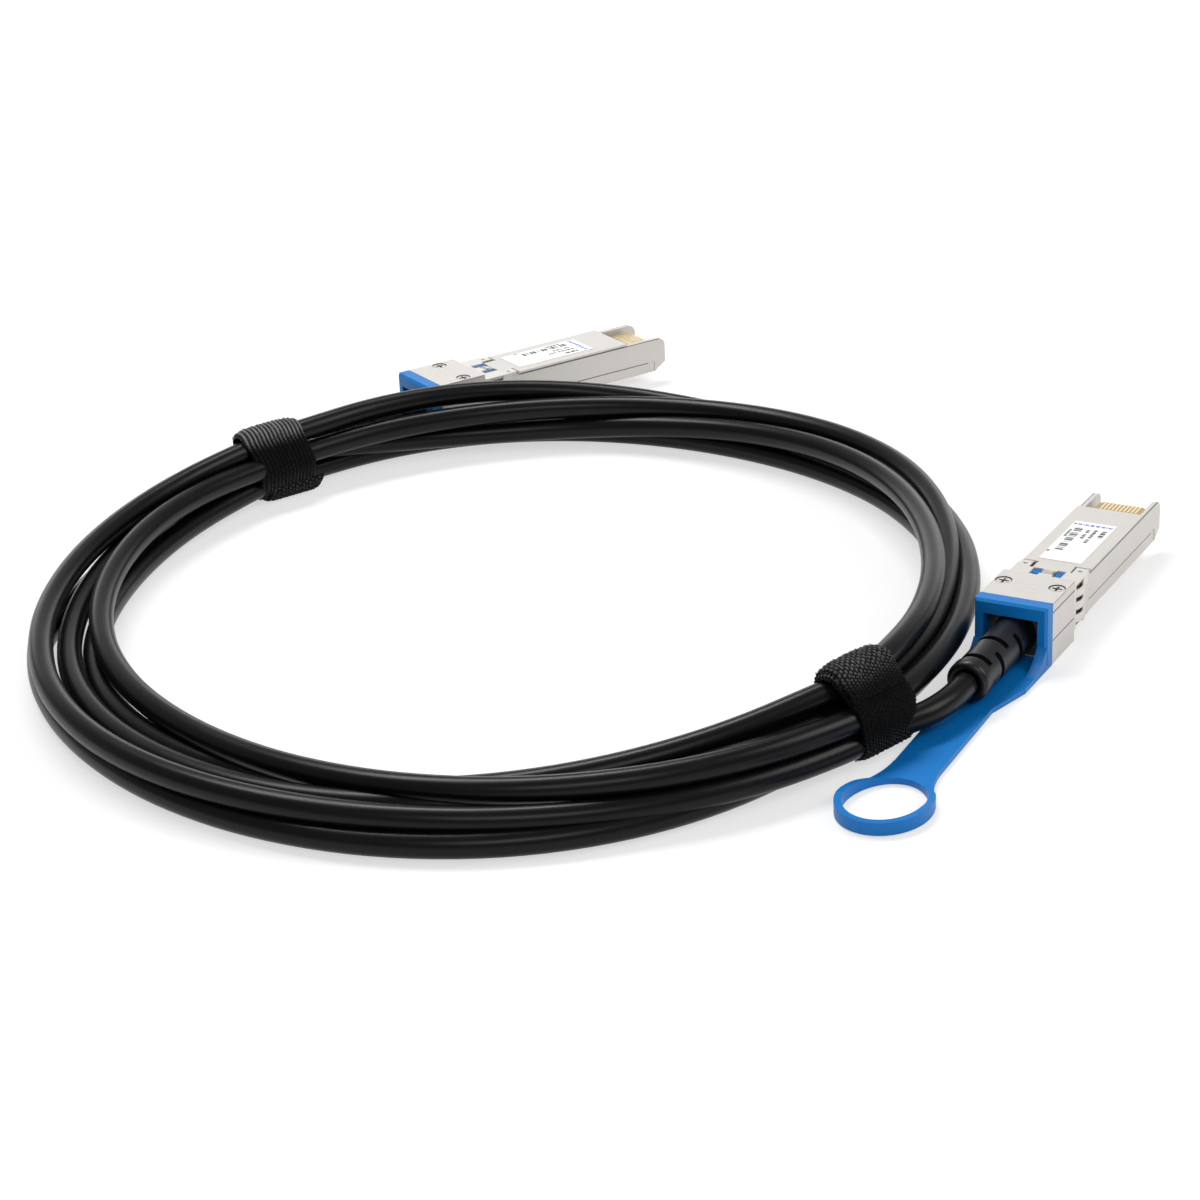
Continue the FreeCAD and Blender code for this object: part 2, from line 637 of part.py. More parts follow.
def bundle_section(middle, outward, inner, outer, low, high, corner):
    """A rounded rectangle standing in the plane of outward and up."""
    def at(across_by, height):
        return middle + outward * across_by + up * height

    cut = corner * (1 - math.sqrt(0.5))
    edges = []
    spots = [(inner, low, 1, 1), (outer, low, -1, 1), (outer, high, -1, -1), (inner, high, 1, -1)]
    for i, (side, level, inward, rise) in enumerate(spots):
        ends = [at(side, level + rise * corner), at(side + inward * corner, level)]
        if i % 2:
            ends.reverse()
        edges.append(Part.Arc(ends[0], at(side + inward * cut, level + rise * cut),
                              ends[1]).toShape())
    wires = []
    for i, edge in enumerate(edges):
        following = edges[(i + 1) % len(edges)]
        wires += [edge, Part.LineSegment(edge.Vertexes[-1].Point,
                                         following.Vertexes[0].Point).toShape()]
    return Part.Wire(wires)


def tie_frame(tie):
    turn = math.radians(tie["angle"])
    outward = FreeCAD.Vector(math.cos(turn), math.sin(turn), 0)
    onward = FreeCAD.Vector(-math.sin(turn), math.cos(turn), 0)
    return coil_point(tie["angle"], tie["radius"]), outward, onward


def tied_section(tie, offset, grow=0.0):
    middle, outward, onward = tie_frame(tie)
    half, low = tie["half"] + grow, bundle_bottom + tie["lift"] - grow
    return bundle_section(middle + onward * offset, outward, -half, half, low,
                          low + tie["height"] + 2 * grow, tie["corner"] + grow)


def eased(before, low, high, after, share):
    """A smooth curve through four even values, read between the middle two."""
    rise_in, rise_out = (high - before) / 2, (after - low) / 2
    cube, square = share ** 3, share ** 2
    return ((2 * cube - 3 * square + 1) * low + (cube - 2 * square + share) * rise_in
            + (3 * square - 2 * cube) * high + (cube - square) * rise_out)


def turns_between(start_section, shape, end_section):
    """The outer shape of the turns from one tie to the other, through the listed sections."""
    sections = [start_section]
    spans = len(shape) - 1
    for i in range(spans):
        keys = [shape[max(i - 1, 0)], shape[i], shape[i + 1], shape[min(i + 2, spans)]]
        count = round(abs(keys[2][0] - keys[1][0]) / coil_step)
        for j in range(count if i < spans - 1 else count + 1):
            share = j / count
            angle = keys[1][0] + (keys[2][0] - keys[1][0]) * share
            inner, outer, height = [eased(*column, share) for column in list(zip(*keys))[1:]]
            turn = math.radians(angle)
            outward = FreeCAD.Vector(math.cos(turn), math.sin(turn), 0)
            sections.append(bundle_section(coil_point(angle, 0), outward, inner, outer,
                                           coil_rest, height, bundle_corner))
    sections.append(end_section)
    return Part.makeLoft(sections, True, True)


def make_cable_coil():
    reach = tie_width / 2 + 1
    tied = []
    for tie in (right_tie, left_tie):
        onward = tie_frame(tie)[2]
        run = onward * (2 * reach + tie["beyond"])
        tied.append(Part.Face(tied_section(tie, -reach)).extrude(run))
    back = turns_between(tied_section(left_tie, -reach), back_shape,
                         tied_section(right_tie, reach + right_tie["beyond"]))
    front = turns_between(tied_section(right_tie, -reach), front_shape,
                          tied_section(left_tie, reach))
    return tied[0].fuse([tied[1], back, front])


def make_tie(tie):
    onward = tie_frame(tie)[2]
    outer = Part.Face(tied_section(tie, -tie_width / 2, soft_gap + tie_thickness))
    inner = Part.Face(tied_section(tie, -tie_width / 2, soft_gap))
    return outer.cut(inner).extrude(onward * tie_width)


# ---- build and write ----

makers = {
    "lower_housing": make_lower_housing,
    "top_cover": make_top_cover,
    "circuit_board": make_circuit_board,
    "emi_collar": make_emi_collar,
    "latch_rocker": make_latch_rocker,
    "latch_pin": make_latch_pin,
    "return_spring": make_return_spring,
    "cover_screws": make_cover_screws,
    "strain_relief": make_strain_relief,
    "cable_ferrule": make_cable_ferrule,
    "inner_wires": make_inner_wires,
    "label_plate": make_label,
}

nodes = {}
for name, maker in makers.items():
    piece = maker()
    for end in end_places:
        nodes[name + "_" + end] = place(piece, end)
for end, lean in tab_leans.items():
    nodes["pull_tab_" + end] = place(make_pull_tab(lean), end)
nodes["cable_coil"] = make_cable_coil()
nodes["tie_right"] = make_tie(right_tie)
nodes["tie_left"] = make_tie(left_tie)
for name, points in (("cable_tail_a", tail_a), ("cable_tail_b", tail_b)):
    nodes[name] = tube(name, points, cable_radius).cut(nodes["cable_coil"])

os.makedirs("parts", exist_ok=True)
for name, shape in nodes.items():
    print(name, "solids", len(shape.Solids), "volume", round(shape.Volume, 2), shape.isValid())
    shape.exportStep("parts/" + name + ".step")
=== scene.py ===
import math

import bmesh
import bpy
import numpy as np
from mathutils import Matrix, Vector


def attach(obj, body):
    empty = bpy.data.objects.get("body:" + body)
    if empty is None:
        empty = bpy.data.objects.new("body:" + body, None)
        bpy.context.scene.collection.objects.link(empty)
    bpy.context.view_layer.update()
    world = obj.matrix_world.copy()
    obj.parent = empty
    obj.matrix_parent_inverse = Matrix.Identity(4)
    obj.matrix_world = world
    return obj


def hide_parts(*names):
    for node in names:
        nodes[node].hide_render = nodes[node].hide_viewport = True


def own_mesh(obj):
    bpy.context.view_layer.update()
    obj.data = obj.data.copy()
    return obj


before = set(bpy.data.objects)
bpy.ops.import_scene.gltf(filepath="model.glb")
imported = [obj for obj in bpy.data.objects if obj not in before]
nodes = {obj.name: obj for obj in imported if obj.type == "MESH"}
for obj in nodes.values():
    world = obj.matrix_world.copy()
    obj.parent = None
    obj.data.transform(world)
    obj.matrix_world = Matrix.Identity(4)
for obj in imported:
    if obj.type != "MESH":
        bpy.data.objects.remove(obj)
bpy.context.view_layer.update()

mm = 0.001

# Where the two ends lie, and each module's heading, as in the part's source.
ends = {"a": {"x": 69.95, "y": -55.75, "heading": 60.5, "lean": 2.1},
        "b": {"x": -44.65, "y": 84.25, "heading": 32.8, "lean": 5.7}}


def toRow(end, x, y, z):
    turn = math.radians(ends[end]["heading"])
    return Vector((ends[end]["x"] + x * math.cos(turn) - y * math.sin(turn),
                   ends[end]["y"] + x * math.sin(turn) + y * math.cos(turn), z)) * mm


def endMatrix(end):
    # module millimetres to row metres
    place = Matrix.Translation(toRow(end, 0, 0, 0))
    return place @ Matrix.Rotation(math.radians(ends[end]["heading"]), 4, "Z") @ Matrix.Scale(mm, 4)


# camera, first of all

cameraLook = {"targetX": -7.15, "targetY": -19.25, "distance": 593.7, "elevation": 23.38, "roll": -2.65,
              "lens": 89.95, "sensor": 36.0, "clipNear": 20.0, "clipFar": 20000.0}


def makeCamera(look):
    rise, roll = math.radians(look["elevation"]), math.radians(look["roll"])
    forward = Vector((0, math.cos(rise), -math.sin(rise)))
    up = Vector((0, math.sin(rise), math.cos(rise)))
    side = Vector((1, 0, 0))
    right = side * math.cos(roll) + up * math.sin(roll)
    top = up * math.cos(roll) - side * math.sin(roll)
    data = bpy.data.cameras.new("shotCamera")
    data.lens, data.sensor_width = look["lens"], look["sensor"]
    data.clip_start, data.clip_end = look["clipNear"] * mm, look["clipFar"] * mm
    cam = bpy.data.objects.new("shotCamera", data)
    bpy.context.collection.objects.link(cam)
    place = Vector((look["targetX"], look["targetY"], 0)) * mm - forward * look["distance"] * mm
    frameAxes = Matrix((right, top, -forward)).transposed().to_4x4()
    cam.matrix_world = Matrix.Translation(place) @ frameAxes
    bpy.context.scene.camera = cam


makeCamera(cameraLook)
print("camera made")

# shader helpers


class Wire:
    # a socket whose operators add Math nodes
    def __init__(self, graph, socket):
        self.graph, self.socket = graph, socket

    def math(self, operation, *others, swap=False):
        values = [self, *others]
        if swap:
            values = values[::-1]
        return self.graph.node("ShaderNodeMath", {"operation": operation}, values)[0]

    def __add__(self, other):
        return self.math("ADD", other)

    __radd__ = __add__

    def __sub__(self, other):
        return self.math("SUBTRACT", other)

    def __rsub__(self, other):
        return self.math("SUBTRACT", other, swap=True)

    def __mul__(self, other):
        return self.math("MULTIPLY", other)

    __rmul__ = __mul__

    def __gt__(self, other):
        return self.math("GREATER_THAN", other)

    def __lt__(self, other):
        return self.math("LESS_THAN", other)

    def absolute(self):
        return self.math("ABSOLUTE")

    def sine(self):
        return self.math("SINE")

    def power(self, other):
        return self.math("POWER", other)

    def clamp(self):
        return self.graph.node("ShaderNodeClamp", {}, [self, 0.0, 1.0])[0]

    def smooth(self, low, high):
        return self.graph.node("ShaderNodeMapRange", {"interpolation_type": "SMOOTHSTEP"},
                               [self, low, high, 0.0, 1.0])[0]


class Graph:
    def __init__(self, name):
        self.material = bpy.data.materials.new(name)
        self.material.use_nodes = True
        self.tree = self.material.node_tree
        self.tree.nodes.clear()
        self.output = self.tree.nodes.new("ShaderNodeOutputMaterial")

    def node(self, kind, settings=None, values=()):
        made = self.tree.nodes.new(kind)
        for key, value in (settings or {}).items():
            setattr(made, key, value)
        pairs = values.items() if isinstance(values, dict) else enumerate(values)
        for key, value in pairs:
            self.feed(made.inputs[key], value)
        return [Wire(self, s) for s in made.outputs]

    def feed(self, socket, value):
        if isinstance(value, Wire):
            self.tree.links.new(value.socket, socket)
        else:
            socket.default_value = value

    def mix(self, factor, low, high):
        return self.node("ShaderNodeMix", {"data_type": "RGBA"}, {0: factor, 6: low, 7: high})[2]

    def split(self, vector):
        return self.node("ShaderNodeSeparateXYZ", {}, [vector])

    def noise(self, vector, scale, detail=2.0, roughness=0.5):
        return self.node("ShaderNodeTexNoise", {"noise_dimensions": "3D"},
                         {"Vector": vector, "Scale": scale, "Detail": detail, "Roughness": roughness})[0]

    def place(self):
        return self.node("ShaderNodeTexCoord")[3]

    def uv(self):
        return self.node("ShaderNodeTexCoord")[2]

    def modulePlace(self, end):
        # the module's own millimetres
        spot = ends[end]
        return self.node("ShaderNodeMapping", {"vector_type": "TEXTURE"},
                         {"Vector": self.place(), "Location": (spot["x"] * mm, spot["y"] * mm, 0),
                          "Rotation": (0, 0, math.radians(spot["heading"])), "Scale": (mm, mm, mm)})[0]

    def scaled(self, vector, sizes):
        return self.node("ShaderNodeVectorMath", {"operation": "MULTIPLY"}, [vector, sizes])[0]

    def bump(self, height, distance, strength):
        return self.node("ShaderNodeBump", {}, {"Height": height, "Distance": distance,
                                                "Strength": strength})[0]

    def surface(self, values):
        shader = self.node("ShaderNodeBsdfPrincipled", {}, values)[0]
        self.tree.links.new(shader.socket, self.output.inputs[0])
        return self.material


def grey(level):
    return (level, level, level, 1.0)


def inside(value, low, high):
    return (value > low) * (value < high)


def near(value, middle, half):
    return (value - middle).absolute() < half


def reachOf(along, across):
    return (along * along + across * across).power(0.5)


# the cable, wound turn by turn

coil = {"middleX": -24.65, "middleY": -24.25, "diameter": 4.8,
        "rightTie": -46.5, "leftTie": 125.5, "tieHalf": 4.7, "step": 12.4,
        "settleRounds": 80, "smoothRounds": 3, "lastAngle": 172, "roundness": 6, "fineness": 6}

# The guide points of each turn between the ties: its angle, its distance from the middle and its height.
backTurns = [
    [(125.5, 87, 12.9), (120, 87.4, 13.2), (110, 90.7, 14.3), (100, 95, 14.9), (90, 99, 13.9), (80, 102, 11),
     (71, 102.2, 8.5), (58, 101, 6), (33, 95, 5), (20, 91.8, 5), (10, 89.2, 5.6), (-5, 87.6, 6.9),
     (-16, 86.9, 7.0), (-30, 87.6, 7.6), (-39, 91.2, 8.6), (-45.5, 94, 8.9)],
    [(125.5, 84.6, 8.2), (115, 87.3, 9.7), (105, 89.2, 9.7), (90, 92, 9.2), (79, 94.6, 9), (65, 98.4, 8.5),
     (58, 99.3, 8.5), (47, 98.7, 9), (33, 96.4, 9.8), (20, 91, 9.6), (12, 88, 9.3), (0, 83.6, 7.4),
     (-15, 82.6, 6.8), (-30, 85.5, 8.4), (-38, 87.8, 9), (-45.5, 89.2, 8.9)],
    [(125.5, 89.4, 8.2), (110, 91.8, 3.2), (100, 94, 2.4), (90, 94.5, 2.4), (76, 93.8, 4), (60, 94.6, 7.2),
     (40, 90.2, 9.4), (20, 84, 10.8), (5, 81.4, 11), (-15, 81, 11), (-27, 83.5, 12.6), (-38, 87.4, 13.2),
     (-45.5, 89.6, 13.2)],
    [(125.5, 87, 4), (112, 95.6, 2.6), (100, 99, 2.4), (90, 99.4, 2.4), (76, 97.2, 2.4), (63, 93.6, 2.4),
     (50, 93.3, 2.4), (32, 92.6, 2.4), (20, 90, 2.4), (10, 86.8, 2.4), (0, 85.6, 2.4), (-13, 85.4, 2.4),
     (-28, 85.2, 2.6), (-38, 88, 4.1), (-45.5, 89.2, 4.5)]]
frontTurns = [
    [(314.5, 94, 4.5), (308, 94.3, 4.3), (296, 96, 4.2), (285, 98, 4.5), (262, 99, 5.5), (240, 98, 6),
     (216, 96, 6.8), (210, 94.5, 7), (200, 91.5, 7), (191, 89.9, 7.5), (179, 88.1, 8), (161, 87.8, 9),
     (146, 86.3, 10), (133, 86.3, 11.5), (125.5, 87, 12.9)],
    [(314.5, 94, 8.9), (305, 95, 8.6), (290, 97, 8.4), (276, 97.4, 8), (264, 93.8, 7), (250, 87.2, 6.2),
     (230, 80.2, 5.8), (216, 79.3, 6), (200, 79.5, 6.5), (180, 78.8, 7.5), (165, 79, 9), (150, 81, 10.5),
     (135, 83.5, 10), (125.5, 84.6, 8.2)],
    [(314.5, 89.2, 8.9), (300, 90.6, 7.4), (280, 91, 6.2), (262, 91, 5.8), (245, 92, 5), (225, 90, 4),
     (210, 88, 4), (180, 83, 4), (150, 86, 5), (138, 88.6, 7), (125.5, 89.4, 8.2)],
    [(314.5, 89.6, 13.2), (307, 89, 11.8), (292, 87.4, 8.8), (279, 84, 5.9), (266, 84, 3.9), (255, 84, 3.4),
     (235, 84, 2.6), (215, 84.5, 2.6), (200, 83, 2.4), (180, 79, 2.4), (165, 79, 2.4), (150, 80, 2.4),
     (136, 84.5, 3.4), (125.5, 87, 4)],
    [(314.5, 89.2, 4.5), (302, 92.5, 3), (289, 97.3, 2.4), (277, 101, 2.4), (267, 101.4, 2.4),
     (256, 100.9, 2.4), (244, 98.9, 2.4), (225, 95, 2.4), (211, 92.3, 2.4), (203, 91.5, 2.4),
     (192, 90.9, 2.4), (180, 90.9, 2.4), (167, 91.6, 2.6)]]

# The free stretches at the two ends, as in the part's source.
tailA = [(57.65, -77.55, 5.4), (55.25, -81.85, 5.4), (52.15, -85.65, 5.2), (48.55, -88.85, 5.0)]
tailB = [(-96.75, 29.75, 4.2), (-93.15, 39.75, 5.2), (-87.55, 50.15, 6.0), (-80.55, 59.35, 5.9),
         (-72.75, 66.15, 5.6), (-65.65, 70.75, 5.4)]


def gridAngles(start, end):
    # the angles at which every turn of one half gets a point, from one tie to the other
    hold = math.copysign(coil["tieHalf"], end - start)
    first, last = start + hold, end - hold
    count = round(abs(last - first) / coil["step"])
    inner = [first + (last - first) * i / count for i in range(count + 1)]
    return [start, *inner, end]


def settle(rows, fixed):
    # pushes the turns' middles apart at one angle until they lie a diameter apart
    diameter = coil["diameter"]
    for _ in range(0 if fixed else coil["settleRounds"]):
        for i in range(len(rows)):
            for j in range(i):
                gap = rows[i] - rows[j]
                apart = math.hypot(*gap)
                if apart < diameter:
                    push = gap / max(apart, 1e-6) * (diameter - apart) / 2
                    rows[i] += push
                    rows[j] -= push
        for row in rows:
            row[1] = max(row[1], diameter / 2)
    return rows


def windHalf(turns, start, end):
    angles = gridAngles(start, end)
    lines = [[] for _ in turns]
    for index, angle in enumerate(angles):
        rows = []
        for keys in turns:
            byAngle = sorted(keys)
            known = [k[0] for k in byAngle]
            rows.append(np.array([np.interp(angle, known, [k[1] for k in byAngle]),
                                  np.interp(angle, known, [k[2] for k in byAngle])]))
        rows = settle(rows, index in (0, len(angles) - 1))
        for line, row in zip(lines, rows):
            line.append((angle, row[0], row[1]))
    return [smoothed(line) for line in lines]


def smoothed(line):
    # evens out a turn's line a little, apart from its hold in each tie
    rows = [list(row) for row in line]
    for _ in range(coil["smoothRounds"]):
        before = [row[:] for row in rows]
        for i in range(2, len(rows) - 2):
            for k in (1, 2):
                rows[i][k] = (before[i - 1][k] + 2 * before[i][k] + before[i + 1][k]) / 4
    return rows


def coilPoint(angle, radius, height):
    turn = math.radians(angle)
    swell = 1 / math.cos(math.radians(coil["step"] / 2))
    return Vector((coil["middleX"] + radius * swell * math.cos(turn),
                   coil["middleY"] + radius * swell * math.sin(turn), height)) * mm


def makeCable():
    back = windHalf(backTurns, coil["leftTie"], coil["rightTie"])
    front = windHalf(frontTurns, coil["rightTie"] + 360, coil["leftTie"])
    points = [Vector(p) * mm for p in tailA]
    for i, half in enumerate(front):
        last = i == len(front) - 1
        kept = [spot for spot in half if not last or spot[0] >= coil["lastAngle"]]
        points += [coilPoint(*spot) for spot in kept]
        if not last:
            points += [coilPoint(*spot) for spot in back[i][1:-1]]
    points += [Vector(p) * mm for p in tailB]
    data = bpy.data.curves.new("cableCord", "CURVE")
    data.dimensions = "3D"
    data.bevel_depth = 1.0                     # each point's radius scales it
    data.bevel_resolution = coil["roundness"]
    data.resolution_u = coil["fineness"]
    data.use_fill_caps = True
    spline = data.splines.new("NURBS")
    spline.points.add(len(points) - 1)
    for point, spot in zip(spline.points, points):
        point.co = (*spot, 1.0)
        point.radius = coil["diameter"] / 2 * mm
    spline.order_u = 3
    spline.use_endpoint_u = True
    cord = bpy.data.objects.new("cableCord", data)
    bpy.context.collection.objects.link(cord)
    return cord


cable = makeCable()
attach(cable, "cable")
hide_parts("cable_coil", "cable_tail_a", "cable_tail_b")
print("cable wound")


# mesh helpers

def placePiece(name, mesh, body, *replaced):
    piece = bpy.data.objects.new(name, mesh)
    bpy.context.collection.objects.link(piece)
    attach(piece, body)
    if replaced:
        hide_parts(*replaced)
    return piece


def makePiece(name, verts, faces, body, *replaced, uvs=None, crease=None):
    mesh = bpy.data.meshes.new(name)
    mesh.from_pydata([tuple(v) for v in verts], [], faces)
    if uvs is not None:
        layer = mesh.uv_layers.new(name="wrap")
        for loop in mesh.loops:
            layer.data[loop.index].uv = uvs[loop.vertex_index]
    mesh.update()
    work = bmesh.new()
    work.from_mesh(mesh)
    bmesh.ops.recalc_face_normals(work, faces=work.faces)
    for face in work.faces:
        face.smooth = True
    if crease:
        for edge in work.edges:
            edge.smooth = edge.calc_face_angle(0) < math.radians(crease)
    work.to_mesh(mesh)
    work.free()
    return placePiece(name, mesh, body, *replaced)


def mergedCopy(node, within):
    # a copy of one of the part's own meshes, with its loose triangles joined
    mesh = nodes[node].data.copy()
    mesh.transform(nodes[node].matrix_world)
    mesh.materials.clear()
    work = bmesh.new()
    work.from_mesh(mesh)
    bmesh.ops.remove_doubles(work, verts=work.verts, dist=within * mm)
    return mesh, work


def gridFaces(rows, columns, closeRows):
    # the faces between rows of points, where each row closes on itself
    faces = []
    for i in range(rows if closeRows else rows - 1):
        for j in range(columns):
            nextRow, nextColumn = (i + 1) % rows, (j + 1) % columns
            faces.append((i * columns + j, i * columns + nextColumn,
                          nextRow * columns + nextColumn, nextRow * columns + j))
    return faces


# woven ties

tieShapes = {
    "tie_right": {"angle": -46.5, "radius": 91.7, "ribPitch": 0.64, "beadPitch": 0.62, "beadDepth": 0.9,
                  "rise": 0.22, "topShift": -0.8, "topSwell": 0.11,
                  "strands": [(89.2, 4.5), (94, 4.5), (89.2, 8.9), (94, 8.9), (89.6, 13.2)]},
    "tie_left": {"angle": 125.5, "radius": 87.0, "ribPitch": 0.86, "beadPitch": 0.62, "beadDepth": 0.18,
                 "rise": 0.3, "topShift": 2.1, "topSwell": 0.08,
                 "strands": [(87, 4), (84.6, 8.2), (89.4, 8.2), (87, 12.9)]}}
tieCommon = {"width": 13.2, "thickness": 1.0, "gap": 0.08, "perRib": 6, "perBead": 4, "edgeWave": 0.16,
             "belly": 0.35, "stagger": 0.5, "swell": 1.005, "steps": 400, "circle": 90, "slopeSteps": 6,
             "edgeShare": 0.45, "crownShare": 0.55, "edgeFall": 8, "endShare": 0.35,
             "climbFrom": 4, "climbOver": 10, "underside": -0.5, "floorGap": 0.05}
# Each band's run is in shares of its loop, from the underside's middle; the flaps are the lapped ends.
bands = [
    {"name": "rightTieWeave", "tie": "tie_right", "from": 0.0, "to": 1.0, "narrower": 0, "shift": 0,
     "lift": 0, "skew": 0, "fade": 1},
    {"name": "leftTieWeave", "tie": "tie_left", "from": 0.0, "to": 1.0, "narrower": 0, "shift": 0,
     "lift": 0, "skew": 0, "fade": 1},
    {"name": "rightTieFlap", "tie": "tie_right", "from": 0.42, "to": 0.72, "narrower": 0.9, "shift": 0.1,
     "lift": 0.9, "skew": 1.2, "fade": 12},
    {"name": "leftTieFlap", "tie": "tie_left", "from": 0.88, "to": 1.08, "narrower": 0.6, "shift": -1.5,
     "lift": 0.9, "skew": 1.4, "fade": 12}]


def hullOf(points):
    # the points of a taut loop round all the given ones
    ordered = sorted(set(points))

    def chain(run):
        kept = []
        for point in run:
            while len(kept) > 1:
                (ax, ay), (bx, by) = kept[-2], kept[-1]
                if (bx - ax) * (point[1] - ay) - (by - ay) * (point[0] - ax) > 0:
                    break
                kept.pop()
            kept.append(point)
        return kept[:-1]

    return chain(ordered) + chain(ordered[::-1])


def strapOutline(shape):
    # evenly spaced points of a strap drawn taut round the strands, from the underside's middle
    reach = coil["diameter"] / 2 + tieCommon["gap"]
    points = []
    for radius, height in shape["strands"]:
        for k in range(tieCommon["circle"]):
            turn = 2 * math.pi * k / tieCommon["circle"]
            points.append((radius * tieCommon["swell"] - shape["radius"] + reach * math.cos(turn),
                           height + reach * math.sin(turn)))
    hull = hullOf(points)
    start = min(range(len(hull)), key=lambda k: hull[k][1])
    hull = np.array(hull[start:] + hull[:start + 1])
    runs = np.concatenate([[0], np.cumsum(np.hypot(*np.diff(hull, axis=0).T))])
    spots = np.linspace(0, runs[-1], tieCommon["steps"], endpoint=False)
    line = np.stack([np.interp(spots, runs, hull[:, k]) for k in (0, 1)], axis=1)
    slope = tieCommon["slopeSteps"]
    ahead = np.roll(line, -slope, axis=0) - np.roll(line, slope, axis=0)
    ahead /= np.hypot(*ahead.T)[:, None]
    outs = np.stack([ahead[:, 1], -ahead[:, 0]], axis=1)
    return line, outs, float(runs[-1])


def wovenBand(band):
    # a strap of woven ribs laid round the bundle along one run of its loop
    shape, common = tieShapes[band["tie"]], tieCommon
    turn = math.radians(shape["angle"])
    outward = Vector((math.cos(turn), math.sin(turn), 0))
    onward = Vector((-math.sin(turn), math.cos(turn), 0))
    middle = Vector((coil["middleX"], coil["middleY"], 0)) + outward * shape["radius"]
    line, outs, wrap = strapOutline(shape)
    run = band["to"] - band["from"]
    closed = run >= 1
    width = common["width"] - band["narrower"]
    beads = round(wrap * run / shape["beadPitch"])
    rows = beads * common["perBead"] + (0 if closed else 1)
    ribs = round(width / shape["ribPitch"])
    across = ribs * common["perRib"]
    columns = 2 * (across + 1)
    verts, uvs = [], []
    for i in range(rows):
        along = i / (beads * common["perBead"])
        place = int(round((band["from"] + run * along) * common["steps"])) % common["steps"]
        (offset, height), out = line[place], outs[place]
        end = 1.0 if closed else min(1.0, band["fade"] * min(along, 1 - along) + common["endShare"])
        climb = min(1.0, max(0.0, (height - common["climbFrom"]) / common["climbOver"]))
        for j in range(columns):
            outer = j <= across
            share = (j if outer else columns - 1 - j) / across
            rib = share * ribs
            sideways = (share - 0.5) * width * (1 + shape["topSwell"] * climb) + shape["topShift"] * climb
            sideways += band["shift"] + band["skew"] * (along - 0.5)
            phase = along * beads + common["stagger"] * (int(rib) % 2)
            bead = 1 - shape["beadDepth"] * (0.5 + 0.5 * math.cos(2 * math.pi * phase))
            crown = math.sin(math.pi * (rib % 1.0)) if 0 < share < 1 else 0.0
            edge = min(1.0, common["edgeFall"] * min(share, 1 - share))
            rise = band["lift"]
            if outer:
                body = common["edgeShare"] + common["crownShare"] * math.sqrt(edge)
                rise += common["thickness"] * body * end + shape["rise"] * crown * bead
            sideways += math.copysign(common["edgeWave"], share - 0.5) * (1 - edge) * bead
            rise += common["belly"] * (1 - (2 * share - 1) ** 2) * (out[1] > common["underside"])
            spot = middle + outward * (offset + out[0] * rise) + onward * sideways
            spot.z = max(height + out[1] * rise, common["floorGap"])
            verts.append(spot * mm)
            uvs.append((phase, rib if outer else -1.0))
    faces = gridFaces(rows, columns, closed)
    if not closed:
        faces.append(tuple(range(columns)))
        faces.append(tuple((rows - 1) * columns + j for j in range(columns)))
    replaced = [band["tie"]] if closed else []
    return makePiece(band["name"], verts, faces, "cable", *replaced, uvs=uvs)


tiePieces = [wovenBand(band) for band in bands]


# loose loops of yarn that stand on the straps, scattered by a node tree
pileShape = {"rightTieWeave": {"perSquareMm": 1.1, "radius": 0.2, "seed": 4},
             "leftTieWeave": {"perSquareMm": 0.7, "radius": 0.2, "seed": 9},
             "rightTieFlap": {"perSquareMm": 1.1, "radius": 0.2, "seed": 6}}
yarn = {"thickness": 0.045, "sweep": 250.0, "lean": 0.9, "sides": 4, "bends": 7}


